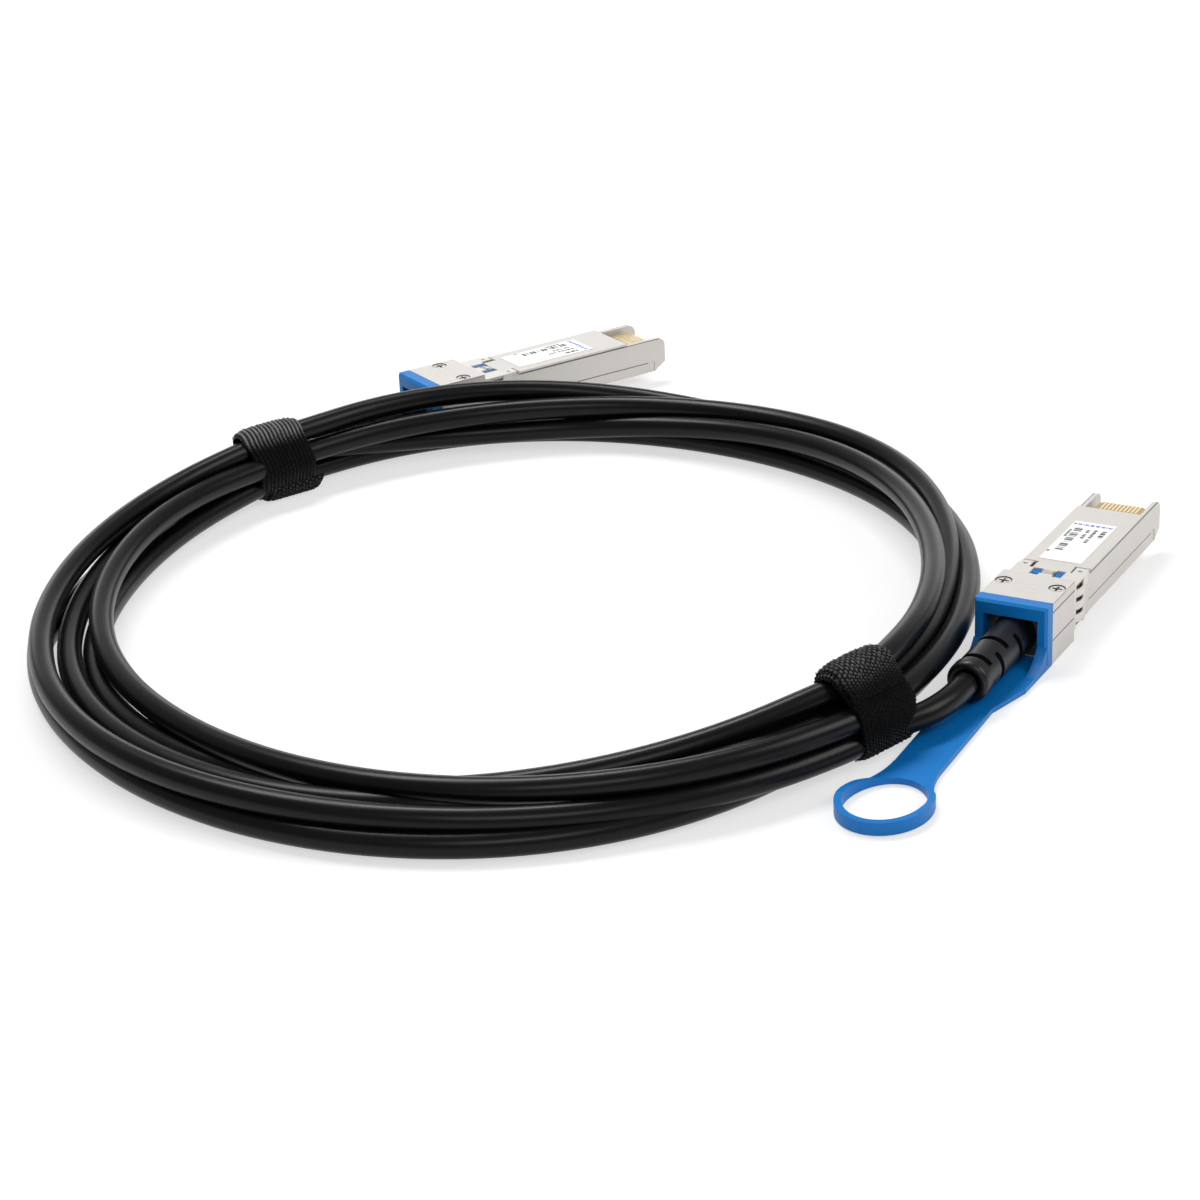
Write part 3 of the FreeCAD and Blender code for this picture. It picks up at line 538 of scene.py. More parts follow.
def pileTree():
    tree = bpy.data.node_groups.new("loopPile", "GeometryNodeTree")
    tree.interface.new_socket("Geometry", in_out="INPUT", socket_type="NodeSocketGeometry")
    for name, kind in (("Density", "Float"), ("Loop Radius", "Float"), ("Yarn Radius", "Float"),
                       ("Seed", "Int"), ("Material", "Material")):
        tree.interface.new_socket(name, in_out="INPUT", socket_type="NodeSocket" + kind)
    tree.interface.new_socket("Geometry", in_out="OUTPUT", socket_type="NodeSocketGeometry")
    made = {name: tree.nodes.new(kind) for name, kind in (
        ("given", "NodeGroupInput"), ("result", "NodeGroupOutput"),
        ("scatter", "GeometryNodeDistributePointsOnFaces"), ("arc", "GeometryNodeCurveArc"),
        ("profile", "GeometryNodeCurvePrimitiveCircle"), ("tube", "GeometryNodeCurveToMesh"),
        ("stand", "GeometryNodeTransform"), ("chance", "FunctionNodeRandomValue"),
        ("turn", "FunctionNodeRotateEuler"), ("place", "GeometryNodeInstanceOnPoints"),
        ("real", "GeometryNodeRealizeInstances"), ("finish", "GeometryNodeSetMaterial"))}
    made["chance"].data_type = "FLOAT_VECTOR"
    made["turn"].rotation_type = "EULER"
    made["turn"].space = "LOCAL"
    made["arc"].inputs["Resolution"].default_value = yarn["bends"]
    made["arc"].inputs["Start Angle"].default_value = math.radians(90 - yarn["sweep"] / 2)
    made["arc"].inputs["Sweep Angle"].default_value = math.radians(yarn["sweep"])
    made["profile"].inputs["Resolution"].default_value = yarn["sides"]
    made["stand"].inputs["Rotation"].default_value = (math.pi / 2, 0, 0)
    made["chance"].inputs["Min"].default_value = (-yarn["lean"], -yarn["lean"], 0)
    made["chance"].inputs["Max"].default_value = (yarn["lean"], yarn["lean"], 2 * math.pi)
    for giver, given, taker, taken in (
            ("given", "Geometry", "scatter", "Mesh"), ("given", "Density", "scatter", "Density"),
            ("given", "Seed", "scatter", "Seed"), ("given", "Seed", "chance", "Seed"),
            ("given", "Loop Radius", "arc", "Radius"), ("given", "Yarn Radius", "profile", "Radius"),
            ("arc", "Curve", "tube", "Curve"), ("profile", "Curve", "tube", "Profile Curve"),
            ("tube", "Mesh", "stand", "Geometry"), ("scatter", "Points", "place", "Points"),
            ("stand", "Geometry", "place", "Instance"), ("scatter", "Rotation", "turn", "Rotation"),
            ("chance", "Value", "turn", "Rotate By"), ("turn", "Rotation", "place", "Rotation"),
            ("place", "Instances", "real", "Geometry"), ("real", "Geometry", "finish", "Geometry"),
            ("given", "Material", "finish", "Material"), ("finish", "Geometry", "result", "Geometry")):
        source = next(socket for socket in made[giver].outputs if socket.name == given and socket.enabled)
        target = next(socket for socket in made[taker].inputs if socket.name == taken and socket.enabled)
        tree.links.new(source, target)
    return tree


def growPile(piece, tree, shape, material):
    # lays the tree over a copy of one strap and keeps the loops as a plain mesh
    carrier = bpy.data.objects.new(piece.name + "Carrier", piece.data.copy())
    bpy.context.collection.objects.link(carrier)
    growth = carrier.modifiers.new("pile", "NODES")
    growth.node_group = tree
    wanted = {"Density": shape["perSquareMm"] / mm ** 2, "Loop Radius": shape["radius"] * mm,
              "Yarn Radius": yarn["thickness"] * mm, "Seed": shape["seed"], "Material": material}
    for socket in tree.interface.items_tree:
        if socket.in_out == "INPUT" and socket.name in wanted:
            growth[socket.identifier] = wanted[socket.name]
    grown = carrier.evaluated_get(bpy.context.evaluated_depsgraph_get())
    mesh = bpy.data.meshes.new_from_object(grown)
    bpy.data.objects.remove(carrier)
    mesh.name = piece.name + "Pile"
    pile = placePiece(piece.name + "Pile", mesh, "cable")


print("ties woven")


# strain relief boots, with slots cut from either side by turns

bootShape = {"start": -0.2, "end": -24.55, "height": 5.4, "radius": 4.05, "endRadius": 3.75, "round": 0.9,
             "slotDepth": 1.7, "slotHalf": 0.68, "sideSlots": (-7.7, -16.3), "topSlots": (-12.2, -20.3),
             "slotReach": 52.0, "reachFade": 6, "lip": 0.05, "slotRings": (0.4, 0.1, 0.05, 0.0),
             "collarStart": -21.6, "collarRise": 0.25, "collarRings": (0.1, -0.25), "bore": 2.3,
             "mouthRings": ((2.75, 0.0), (2.55, 0.25), (2.3, 0.9)), "around": 96, "crease": 28}


def slotShare(x, angle):
    # how deep the boot's slots are cut here, from 0 to 1: side pairs, then top and bottom pairs
    shape = bootShape
    turn = math.radians(angle)
    aside, upright = abs(math.cos(turn)), abs(math.sin(turn))
    for slots, facing in ((shape["sideSlots"], aside), (shape["topSlots"], upright)):
        away = math.degrees(math.acos(min(1, facing)))
        nearest = min(abs(x - slot) for slot in slots)
        edge = shape["slotHalf"] + shape["lip"]
        if away < shape["slotReach"] and nearest < edge:
            return min(1.0, (shape["slotReach"] - away) / shape["reachFade"]) \
                * min(1.0, (edge - nearest) / shape["lip"])
    return 0.0


def bootRings():
    # the boot's outer rings from the head to its end, each with its turn round the end's edge
    shape = bootShape
    steps = [shape["start"]]
    for middle in shape["sideSlots"] + shape["topSlots"]:
        steps.append(middle)
        for away in shape["slotRings"]:
            steps += [middle + shape["slotHalf"] + away, middle - shape["slotHalf"] - away]
    steps += [shape["collarStart"] + step for step in shape["collarRings"]]
    edgeStart = shape["end"] + shape["round"]
    straight = sorted(set(round(step, 3) for step in steps), reverse=True)
    rings = [(x, 0) for x in straight if x > edgeStart + shape["lip"]]
    for curl in range(0, 91, 15):
        rings.append((edgeStart - shape["round"] * math.sin(math.radians(curl)), curl))
    return rings


def makeBoot(end):
    shape = bootShape
    last, around = shape["end"], shape["around"]
    rings = bootRings()
    verts = []

    def addPoint(x, radius, turn):
        verts.append(toRow(end, x, radius * math.cos(turn), shape["height"] + radius * math.sin(turn)))

    for x, curl in rings:
        share = (shape["start"] - x) / (shape["start"] - last)
        base = shape["radius"] + (shape["endRadius"] - shape["radius"]) * share
        if x < shape["collarStart"]:
            base += shape["collarRise"]
        base -= shape["round"] * (1 - math.cos(math.radians(curl)))
        for k in range(around):
            angle = 360 * k / around
            addPoint(x, base - shape["slotDepth"] * slotShare(x, angle), math.radians(angle))
    inner = [(radius, last + inset) for radius, inset in shape["mouthRings"]]
    inner += [(shape["bore"], shape["start"] - inset) for inset in (1, 0)]
    for radius, x in inner:
        for k in range(around):
            addPoint(x, radius, 2 * math.pi * k / around)
    faces = gridFaces(len(rings) + len(inner), around, True)
    return makePiece("bootMoulding_" + end, verts, faces, "cable", "strain_relief_" + end,
                     crease=shape["crease"])


bootPieces = {end: makeBoot(end) for end in ends}
print("boots moulded")


# blue pull tabs, softened and with the far strap bent in under the turns

tabShape = {"bendFrom": -24.0, "bendReach": 44.0, "bendAside": {"a": 0.0, "b": 5.4}, "bendPower": 1.5,
            "lugFrom": 13.0, "lugTop": 10.72, "hinge": -14.0, "holeFrom": -50.5, "loopMiddle": -65.6,
            "holeLong": 8.7, "holeWide": 7.1, "holeEdge": 1.04, "holeStretch": 0.8, "nearRim": 1.12,
            "rimRise": 1.6, "mergeWithin": 0.02, "flatWithin": 1.5, "sharpOver": 32, "edgeRound": 0.18,
            "roundSteps": 2, "roundProfile": 0.6}


def tabPoint(spot, end, straighten):
    # one point of a tab, in the module's millimetres, with its rim, hole, bend and lugs put right
    shape = tabShape
    if spot.x < shape["holeFrom"]:
        # the hole runs on a little towards the strap, where the rim is low
        spot = straighten @ spot
        over = (spot.x - shape["loopMiddle"]) / shape["holeLong"]
        if over > 0 and math.hypot(over, spot.y / shape["holeWide"]) < shape["holeEdge"]:
            spot.x += shape["holeStretch"] * over ** 2
        if over > 0:
            spot.z = min(spot.z, shape["nearRim"] + (1 - min(over, 1)) * shape["rimRise"])
        spot = straighten.inverted() @ spot
    along = max(0.0, (shape["bendFrom"] - spot.x) / shape["bendReach"])
    spot.y -= shape["bendAside"][end] * along ** shape["bendPower"]
    if spot.x > shape["lugFrom"]:
        spot.z = min(spot.z, shape["lugTop"])
    return spot


def makeTab(end):
    shape = tabShape
    mesh, work = mergedCopy("pull_tab_" + end, shape["mergeWithin"])
    bmesh.ops.dissolve_limit(work, angle_limit=math.radians(shape["flatWithin"]), verts=work.verts,
                             edges=work.edges)
    sharp = [edge for edge in work.edges if len(edge.link_faces) == 2
             and edge.calc_face_angle(0) > math.radians(shape["sharpOver"])]
    bmesh.ops.bevel(work, geom=sharp, offset=shape["edgeRound"] * mm, segments=shape["roundSteps"],
                    profile=shape["roundProfile"], affect="EDGES", clamp_overlap=True)
    forward = endMatrix(end)
    inverse = forward.inverted()
    hinge = Matrix.Translation((shape["hinge"], 0, 0))
    straighten = hinge @ Matrix.Rotation(-math.radians(ends[end]["lean"]), 4, "Z") @ hinge.inverted()
    for vert in work.verts:
        vert.co = forward @ tabPoint(inverse @ vert.co, end, straighten)
    for face in work.faces:
        face.smooth = False
    work.to_mesh(mesh)
    work.free()
    return placePiece("tabMoulding_" + end, mesh, "tab_" + end, "pull_tab_" + end)


tabPieces = {end: makeTab(end) for end in ends}
print("tabs moulded")


# return springs, which the rockers press down: copies of the part's own coils, with their loose triangles
# joined

springPress = {"tilt": 7.0, "slack": 0.04, "mergeWithin": 0.002}


def makeSpring(end):
    node = "return_spring_" + end
    mesh, work = mergedCopy(node, springPress["mergeWithin"])
    work.to_mesh(mesh)
    work.free()
    piece = placePiece("returnCoil_" + end, mesh, "cable", node)
    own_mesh(piece)
    return piece


springPieces = {end: makeSpring(end) for end in ends}
print("springs set")


# finishes: colours are linear, and places on a module are in its own millimetres

bumpHeight = 0.01 * mm
jacketLook = {"low": (0.0016, 0.0016, 0.0019, 1), "high": (0.003, 0.003, 0.0034, 1), "fine": 2600.0,
              "broad": 90.0, "rough": 0.23, "roughBroad": 0.1, "roughFine": 0.06,
              "specular": 0.2, "bump": 0.3}
blueLook = {"low": (0.001, 0.145, 0.46, 1), "high": (0.002, 0.175, 0.53, 1), "fine": 2200.0,
            "broad": 60.0, "rough": 0.38, "roughBroad": 0.1, "roughFine": 0.0,
            "specular": 0.25, "bump": 0.4}


def mouldedFinish(name, look):
    graph = Graph(name)
    spot = graph.place()
    fine = graph.noise(spot, look["fine"], 3.0, 0.6)
    broad = graph.noise(spot, look["broad"], 2.0)
    colour = graph.mix(broad, look["low"], look["high"])
    rough = look["rough"] + look["roughBroad"] * broad + look["roughFine"] * fine
    return graph.surface({"Base Color": colour, "Roughness": rough, "IOR": 1.5,
                          "Specular IOR Level": look["specular"],
                          "Normal": graph.bump(fine, bumpHeight, look["bump"])})


bootLook = {"low": (0.0016, 0.0016, 0.002, 1), "high": (0.0034, 0.0034, 0.0038, 1), "fine": 3.4,
            "broad": 0.16, "rough": 0.31, "roughBroad": 0.12, "slotRough": 0.95, "slotFloor": 0.55}


def bootFinish(end):
    # the slots' floors are painted black as shade, and dull
    look, shape = bootLook, bootShape
    graph = Graph("bootRubber_" + end)
    spot = graph.modulePlace(end)
    x, y, z = graph.split(spot)
    fine = graph.noise(spot, look["fine"], 3.0, 0.6)
    broad = graph.noise(spot, look["broad"], 2.0)
    reach = reachOf(y, z - shape["height"])
    deep = (reach < shape["radius"] - look["slotFloor"]) * (x > shape["collarStart"])
    colour = graph.mix(broad, look["low"], look["high"])
    # painted shade: the slot floors below this depth are painted black
    colour = graph.mix(deep, colour, grey(0.0))
    rough = (look["rough"] + look["roughBroad"] * broad) * (1.0 - deep) + look["slotRough"] * deep
    return graph.surface({"Base Color": colour, "Roughness": rough, "IOR": 1.5, "Specular IOR Level": 0.42,
                          "Normal": graph.bump(fine, bumpHeight, 0.4)})


# paintedShade is the colour of the painted shade in the castings' gaps and recesses and in the screws'
# crosses
metalLook = {"casting": (0.62, 0.592, 0.56), "sheet": (0.68, 0.65, 0.61), "castingRough": 0.38,
             "sheetRough": 0.3, "metallic": 0.35, "stretch": (0.5, 9.0, 9.0), "grain": 3.0, "fine": 9.0,
             "broad": 0.25, "darker": 0.95, "lighter": 1.03, "roughFine": 0.1,
             "paintedShade": (0.05, 0.045, 0.04, 1), "paintedShadeShare": 0.9}
# Where the castings get dark joint lines and painted shade in their gaps, pockets, screw rims and recesses.
# A pair is a run's two ends, or a line's middle and half width.
castingMarks = {
    "bodySide": 6.55, "bodyRun": (20.9, 62.0), "bodySeam": (10.27, 0.16), "bodyStep": (4.75, 0.11),
    "stepEnd": 57.0, "headSide": 6.9, "headRun": (0.2, 11.6), "headSeam": (10.4, 0.15),
    "headStep": (4.75, 0.11), "top": 10.6, "screwX": 7.0, "screwY": 5.3, "screwRim": (1.53, 0.12),
    "pocketSide": (3.8, 6.7), "pocketRun": (17.4, 20.85), "pocketRise": (10.2, 10.88),
    "rearSide": (3.6, 6.75), "rearRun": (20.9, 21.25), "flankSide": (3.75, 4.1), "flankRun": (17.4, 21.25),
    "collarRun": (12.0, 17.3), "collarSide": 5.5, "collarRise": (2.4, 10.35),
    "mouthEnd": 0.35, "mouthSide": 5.7, "mouthRise": (1.2, 10.6)}
castRipples = {"lines": (3.1, 4.9, 6.6), "sway": 0.22, "swayRate": 1.7, "half": 0.07, "side": 2.6,
               "tone": (0.3, 0.28, 0.26, 1), "share": 0.35}
# painted shade in each dimple: a darker rim round a lighter middle
collarDimpleShade = {"x": 18.9, "y": 5.52, "rim": 0.46, "rimShare": 0.7, "crown": 0.2, "crownShare": 0.3,
                "tone": (0.12, 0.11, 0.10, 1)}


def castingPaintedShade(x, y, z):
    # 1 along the castings' joints and in their gaps and recesses: the joint lines are dark joints with
    # painted shade in their gaps, and the tab pockets, screw rims, collar and mouth recesses get painted
    # shade
    marks, side = castingMarks, y.absolute()
    onBody = (side > marks["bodySide"]) * inside(x, *marks["bodyRun"])
    onHead = (side > marks["headSide"]) * inside(x, *marks["headRun"])
    bodyStep = onBody * near(z, *marks["bodyStep"]) * (x < marks["stepEnd"])
    paintedShade = onBody * near(z, *marks["bodySeam"]) + bodyStep
    paintedShade = paintedShade + onHead * near(z, *marks["headSeam"]) + onHead * near(z, *marks["headStep"])
    top = z > marks["top"]
    for sign in (1, -1):
        reach = reachOf(x - marks["screwX"], y - sign * marks["screwY"])
        paintedShade = paintedShade + top * near(reach, *marks["screwRim"])
    pocket = inside(side, *marks["pocketSide"]) * inside(x, *marks["pocketRun"])
    pocket = pocket * inside(z, *marks["pocketRise"])
    rear = inside(side, *marks["rearSide"]) * inside(x, *marks["rearRun"])
    flank = inside(side, *marks["flankSide"]) * inside(x, *marks["flankRun"])
    collar = inside(x, *marks["collarRun"]) * (side > marks["collarSide"]) * inside(z, *marks["collarRise"])
    mouth = (x < marks["mouthEnd"]) * (side < marks["mouthSide"]) * inside(z, *marks["mouthRise"])
    return (paintedShade + pocket + top * (rear + flank) + collar + mouth).clamp()


def castingRipples(x, y, z):
    # faint flow lines across the head's top
    flow, top, lines = castRipples, z > castingMarks["top"], 0.0
    for middle in flow["lines"]:
        wave = x - middle + flow["sway"] * (y * flow["swayRate"] + middle).sine()
        lines = lines + top * (wave.absolute() < flow["half"]) * (y.absolute() < flow["side"])
    return lines


def metalBase(graph, spot, tone):
    # a satin metal's colour, bump and fine noise, streaked along the module
    look = metalLook
    grain = graph.noise(graph.scaled(spot, look["stretch"]), look["grain"], 3.0, 0.6)
    fine = graph.noise(spot, look["fine"], 3.0, 0.6)
    broad = graph.noise(spot, look["broad"], 2.0)
    low = tuple(part * look["darker"] for part in tone) + (1,)
    high = tuple(part * look["lighter"] for part in tone) + (1,)
    colour = graph.mix(broad * 0.6 + grain * 0.4, low, high)
    return colour, graph.bump(fine * 0.6 + grain * 0.4, bumpHeight, 0.5), fine


def castingFinish(end):
    look = metalLook
    graph = Graph("satinCasting_" + end)
    spot = graph.modulePlace(end)
    colour, bump, fine = metalBase(graph, spot, look["casting"])
    x, y, z = graph.split(spot)
    colour = graph.mix(castingRipples(x, y, z) * castRipples["share"], colour, castRipples["tone"])
    # painted shade along the joints and in the gaps, pockets and recesses
    colour = graph.mix(castingPaintedShade(x, y, z) * look["paintedShadeShare"], colour, look["paintedShade"])
    return graph.surface({"Base Color": colour, "Metallic": look["metallic"],
                          "Roughness": look["castingRough"] + look["roughFine"] * fine, "Normal": bump})


def sheetFinish(end):
    # the sprung sheet, with painted shade in a dimple on each of the collar's corner tabs
    look, dimple = metalLook, collarDimpleShade
    graph = Graph("springSheet_" + end)
    spot = graph.modulePlace(end)
    colour, bump, fine = metalBase(graph, spot, look["sheet"])
    x, y, _ = graph.split(spot)
    reach = reachOf(x - dimple["x"], y.absolute() - dimple["y"])
    shade = (reach < dimple["rim"]) * dimple["rimShare"] - (reach < dimple["crown"]) * dimple["crownShare"]
    colour = graph.mix(shade, colour, dimple["tone"])
    return graph.surface({"Base Color": colour, "Metallic": look["metallic"],
                          "Roughness": look["sheetRough"] + look["roughFine"] * fine, "Normal": bump})


screwLook = {"low": (0.60, 0.57, 0.53, 1), "high": (0.68, 0.65, 0.61, 1), "crossHalf": 0.26,
             "crossReach": 1.0, "crossShadeShare": 0.85, "rough": 0.34}


def screwFinish(end):
    # the cross in each head is painted dark as shade
    look = screwLook
    graph = Graph("screwSteel_" + end)
    spot = graph.modulePlace(end)
    x, y, _ = graph.split(spot)
    fine = graph.noise(spot, metalLook["fine"], 3.0, 0.6)
    along, across = x - castingMarks["screwX"], y.absolute() - castingMarks["screwY"]
    cross = ((along.absolute() < look["crossHalf"]) + (across.absolute() < look["crossHalf"])).clamp()
    cross = cross * (reachOf(along, across) < look["crossReach"])
    colour = graph.mix(fine, look["low"], look["high"])
    colour = graph.mix(cross * look["crossShadeShare"], colour, metalLook["paintedShade"])
    return graph.surface({"Base Color": colour, "Metallic": metalLook["metallic"],
                          "Roughness": look["rough"] + metalLook["roughFine"] * fine,
                          "Normal": graph.bump(fine, bumpHeight, 0.5)})


boardLook = {"greenEnd": 53.5, "padRun": (54.6, 59.25), "padSide": 4.0, "padPitch": 0.8, "padHalf": 0.24,
             "pad": (0.88, 0.73, 0.46, 1), "padMetal": 0.5, "rough": 0.38, "padSmooth": 0.08, "mottle": 1.5,
             "bareLow": (0.34, 0.25, 0.10, 1), "bareHigh": (0.42, 0.31, 0.13, 1),
             "greenLow": (0.02, 0.13, 0.05, 1), "greenHigh": (0.03, 0.17, 0.06, 1)}


def boardFinish(end):
    look = boardLook
    graph = Graph("boardMask_" + end)
    spot = graph.modulePlace(end)
    x, y, _ = graph.split(spot)
    across = (y + look["padSide"]).math("MODULO", look["padPitch"]) - look["padPitch"] / 2
    pad = inside(x, *look["padRun"]) * (y.absolute() < look["padSide"])
    pad = pad * (across.absolute() < look["padHalf"])
    mottle = graph.noise(spot, look["mottle"], 2.0)
    bare = graph.mix(mottle, look["bareLow"], look["bareHigh"])
    green = graph.mix(mottle, look["greenLow"], look["greenHigh"])
    colour = graph.mix(pad, graph.mix(x < look["greenEnd"], bare, green), look["pad"])
    return graph.surface({"Base Color": colour, "Metallic": pad * look["padMetal"],
                          "Roughness": look["rough"] - look["padSmooth"] * pad})


labelPrint = {"paper": (0.86, 0.91), "grain": 12.0, "ink": 0.02, "inkShare": 0.95,
              "blue": (0.01, 0.09, 0.42, 1), "blueShare": 0.9, "barRun": (27.6, 40.0), "barSide": (1.4, 3.05),
              "bars": ((6.3, 0.0), (13.7, 1.3), (2.3, 0.0)), "barCut": -0.3, "dashRun": (41.2, 42.1),
              "dashSide": 4.0, "dashes": ((5.3, 0.0), (11.9, 2.0)), "dashCut": -0.5,
              "strokeRates": (4.1, 7.3), "strokeCut": -0.9, "hashRate": 12.9898, "hashSize": 43758.5}
# Each row of strokes: its place and half height across the label, its run, its pitch, its gaps and its seed.
labelRows = [(3.55, 0.3, 34.6, 38.6, 0.5, 0.0, 3), (3.95, 0.26, 26.2, 27.3, 0.4, 0.0, 5),
             (0.15, 0.36, 34.0, 39.5, 0.62, 0.06, 7), (-1.25, 0.36, 32.8, 40.0, 0.62, 0.06, 11),
             (-3.0, 0.5, 36.0, 39.9, 0.8, 0.0, 13)]


def waves(value, terms):
    # the sum of sines that breaks a band into uneven bars
    total = 0.0
    for rate, shift in terms:
        total = total + (value * rate + shift).sine()
    return total


def strokes(x, y, row):
    # one generic row of print along the label
    look = labelPrint
    middle, half, low, high, pitch, gap, seed = row
    coarse, quick = (rate / pitch for rate in look["strokeRates"])
    cell = ((x * (1 / pitch)).math("FLOOR") + seed) * look["hashRate"]
    random = (cell.sine() * look["hashSize"]).math("FRACT")
    stroke = waves(x, ((coarse, seed), (quick, 0.0))) > look["strokeCut"]
    return inside(y, middle - half, middle + half) * inside(x, low, high) * stroke * (random > gap)


def paperFinish(end):
    look = labelPrint
    graph = Graph("labelPaper_" + end)
    spot = graph.modulePlace(end)
    x, y, _ = graph.split(spot)
    dark, pale = look["paper"]
    paper = graph.mix(graph.noise(spot, look["grain"], 3.0), grey(dark), grey(pale))
    ink = (waves(x, look["bars"]) > look["barCut"]) * inside(x, *look["barRun"]) * inside(y, *look["barSide"])
    for row in labelRows:
        ink = ink + strokes(x, y, row)
    dash = inside(x, *look["dashRun"]) * (y.absolute() < look["dashSide"])
    dash = dash * (waves(y, look["dashes"]) > look["dashCut"])
    colour = graph.mix(ink.clamp() * look["inkShare"], paper, grey(look["ink"]))
    colour = graph.mix(dash * look["blueShare"], colour, look["blue"])
    return graph.surface({"Base Color": colour, "Roughness": 0.55})


# Each cloth's painted light: its brightest grey, and the heights in mm where its top and foot are painted
# lit.
clothLooks = {
    "loopPileCloth": {"high": 0.14, "ribbed": False, "top": (14.2, 17.4), "foot": (3.5, 7.5), "dim": 0.04},
    "ribbedCloth": {"high": 0.22, "ribbed": True, "top": (12.6, 15.6), "foot": (3.5, 7.5), "dim": 0.04}}
clothCommon = {"low": 0.0008, "footShare": 0.3, "fine": 2600.0, "patch": 320.0, "patchFloor": 0.25,
               "sharpness": 2.2, "fuzz": 0.12, "fuzzDrop": 0.06, "bump": 0.06}
# The loose loops' painted light: its brightest grey, the lit heights in mm and its gain.
yarnLook = {"high": 0.2, "top": (14.2, 17.4), "foot": (3.5, 6.0), "dim": 0.02, "patch": 900.0, "gain": 2.2}


def lightByHeight(graph, spot, look):
    # a strap is lit at its top and, less, at its foot
    height = graph.split(spot)[2] * (1 / mm)
    top = height.smooth(*look["top"])
    foot = 1.0 - height.smooth(*look["foot"])
    return top, (look["dim"] + top + clothCommon["footShare"] * foot).clamp()


def wovenFinish(name):
    # ribs and beads follow the strap's own map
    look, common = clothLooks[name], clothCommon
    graph = Graph(name)
    spot = graph.place()
    top, lit = lightByHeight(graph, spot, look)
    fine = graph.noise(spot, common["fine"], 3.0, 0.7)
    along, across, _ = graph.split(graph.uv())
    # painted highlight: the rib crowns and bead tops are painted light, only where the strap's top and foot
    # are painted lit; on the ribbed strap the whole top is painted lit
    crown = (across * math.pi).sine().absolute().power(common["sharpness"])
    bead = 0.5 - 0.5 * (along * (2 * math.pi)).math("COSINE")
    if look["ribbed"]:
        bead = (bead + top).clamp()
    patchy = common["patchFloor"] + graph.noise(spot, common["patch"], 2.0)
    tone = (crown * bead * lit * patchy + common["fuzz"] * fine - common["fuzzDrop"]).clamp()
    colour = graph.mix(tone, grey(common["low"]), grey(look["high"]))
    return graph.surface({"Base Color": colour, "Roughness": 0.7 - 0.2 * tone, "Specular IOR Level": 0.08,
                          "Normal": graph.bump(fine, common["bump"] * mm, 0.6)})


def yarnFinish():
    look = yarnLook
    graph = Graph("looseYarn")
    spot = graph.place()
    # the loops are painted lit at the strap's top and foot, in random patches
    lit = lightByHeight(graph, spot, look)[1]
    patchy = graph.noise(spot, look["patch"], 2.0, 0.6)
    tone = (lit * patchy * patchy * look["gain"]).clamp()
    colour = graph.mix(tone, grey(clothCommon["low"]), grey(look["high"]))
    return graph.surface({"Base Color": colour, "Roughness": 0.5 + 0.2 * patchy, "Specular IOR Level": 0.15})


def dress(node, material):
    mesh = nodes[node].data
    mesh.materials.clear()
    mesh.materials.append(material)


cable.data.materials.append(mouldedFinish("blackJacket", jacketLook))
clothFor = {"tie_right": wovenFinish("loopPileCloth"), "tie_left": wovenFinish("ribbedCloth")}
for piece, band in zip(tiePieces, bands):
    piece.data.materials.append(clothFor[band["tie"]])
yarnTree = pileTree()
for piece in tiePieces:
    if piece.name in pileShape:
        growPile(piece, yarnTree, pileShape[piece.name], yarnFinish())
blue = mouldedFinish("blueNylon", blueLook)
for end in ends:
    casting, sheet = castingFinish(end), sheetFinish(end)
    bootPieces[end].data.materials.append(bootFinish(end))
    for node in ("lower_housing", "top_cover"):
        dress(node + "_" + end, casting)
    for node in ("emi_collar", "latch_rocker", "latch_pin", "cable_ferrule", "inner_wires"):
        dress(node + "_" + end, sheet)
    dress("cover_screws_" + end, screwFinish(end))
    dress("circuit_board_" + end, boardFinish(end))
    dress("label_plate_" + end, paperFinish(end))
    springPieces[end].data.materials.append(sheet)
    tabPieces[end].data.materials.append(blue)
print("finishes laid")


# floor, backdrop and light, in metres

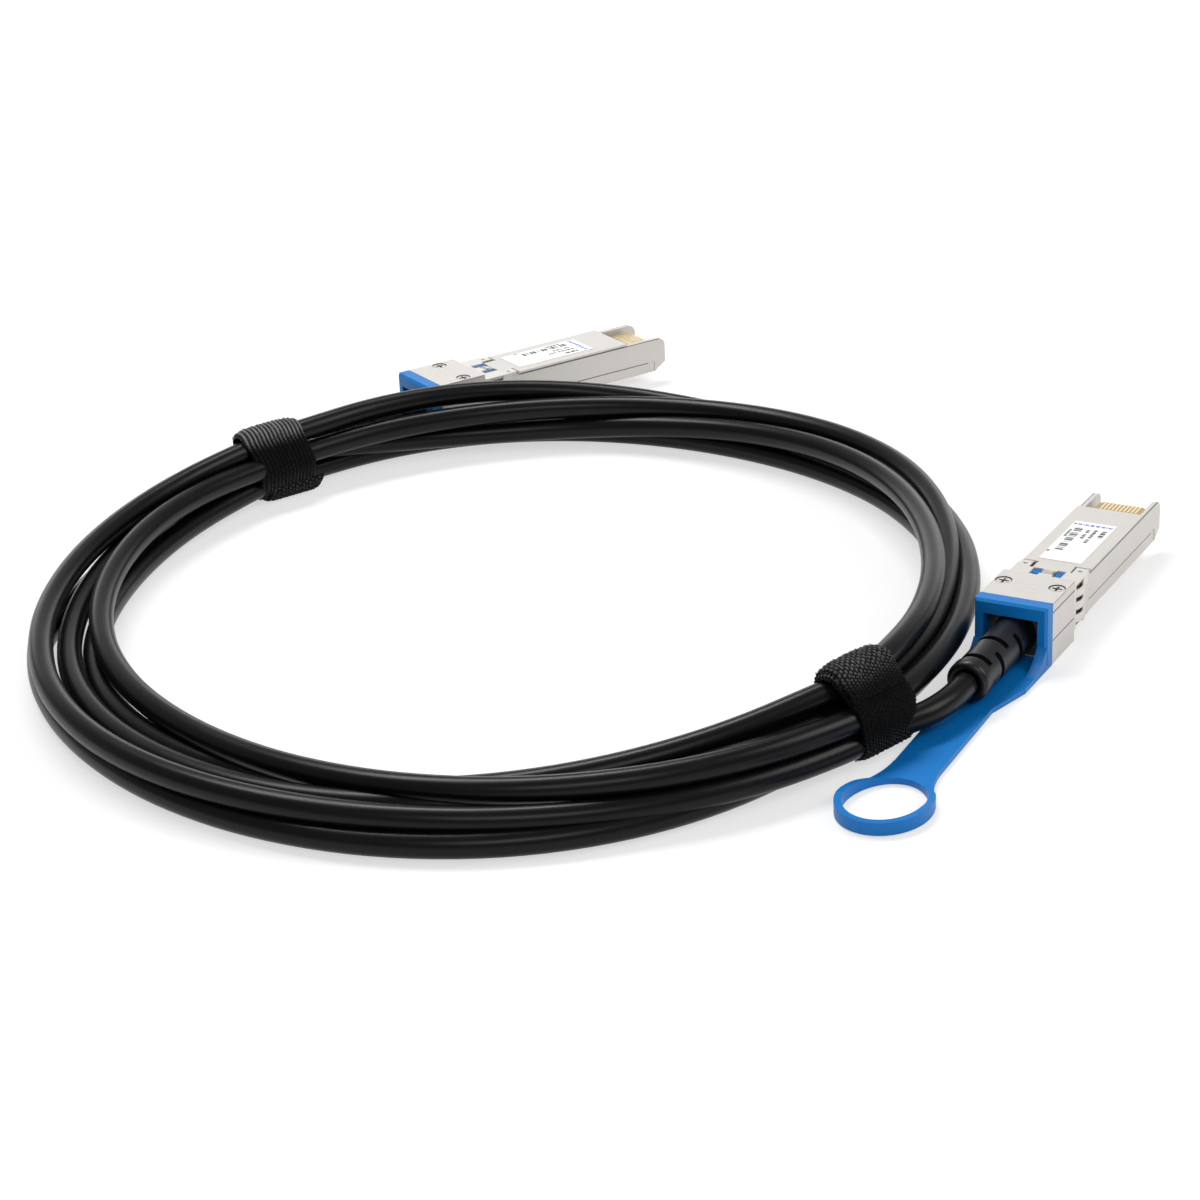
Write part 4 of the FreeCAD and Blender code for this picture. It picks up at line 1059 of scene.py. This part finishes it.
stage = {"floorGrey": 0.93, "floorSize": 8, "floorHeight": -0.0003, "glow": 0.6, "world": 0.30}
lamps = [{"name": "overheadLamp", "place": (-0.25, 0.45, 1.1), "wide": 0.9, "deep": 0.3, "power": 12.5},
         {"name": "sideLamp", "place": (1.0, -0.1, 0.8), "wide": 0.6, "deep": 0.6, "power": 5.0},
         {"name": "frontLamp", "place": (0.1, -1.1, 0.9), "wide": 0.8, "deep": 0.4, "power": 4.0},
         {"name": "backLamp", "place": (0.0, 1.7, 0.32), "wide": 2.6, "deep": 0.5, "power": 6.5}]


def makeFloor():
    # glows a little where the camera and sharp rays see it, and is dull to the rest
    graph = Graph("paleFloor")
    seen = graph.node("ShaderNodeLightPath")
    share = (seen[0] + seen[3] + seen[6]).clamp() * stage["glow"]
    paint = {"Base Color": grey(stage["floorGrey"]), "Roughness": 0.9, "Specular IOR Level": 0.0}
    dull = graph.node("ShaderNodeBsdfPrincipled", {}, paint)[0]
    glow = graph.node("ShaderNodeEmission", {}, [grey(1), 1.0])[0]
    blend = graph.node("ShaderNodeMixShader", {}, [share, dull, glow])[0]
    graph.tree.links.new(blend.socket, graph.output.inputs[0])
    bpy.ops.mesh.primitive_plane_add(size=stage["floorSize"], location=(0, 0, stage["floorHeight"]))
    floor = bpy.context.object
    floor.name = "floorSheet"
    floor.data.materials.append(graph.material)


def makeLight():
    world = bpy.data.worlds.new("studio")
    bpy.context.scene.world = world
    world.use_nodes = True
    tree = world.node_tree
    tree.nodes.clear()
    out = tree.nodes.new("ShaderNodeOutputWorld")
    back = tree.nodes.new("ShaderNodeBackground")
    back.inputs[0].default_value = grey(1)
    back.inputs[1].default_value = stage["world"]
    tree.links.new(back.outputs[0], out.inputs[0])
    for lamp in lamps:
        data = bpy.data.lights.new(lamp["name"], "AREA")
        data.shape = "RECTANGLE"
        data.size, data.size_y, data.energy = lamp["wide"], lamp["deep"], lamp["power"]
        made = bpy.data.objects.new(lamp["name"], data)
        bpy.context.collection.objects.link(made)
        made.location = lamp["place"]
        made.rotation_euler = (-Vector(lamp["place"])).to_track_quat("-Z", "Y").to_euler()
    bpy.context.scene.view_settings.view_transform = "Standard"


makeFloor()
makeLight()
print("stage set")

bpy.context.view_layer.update()
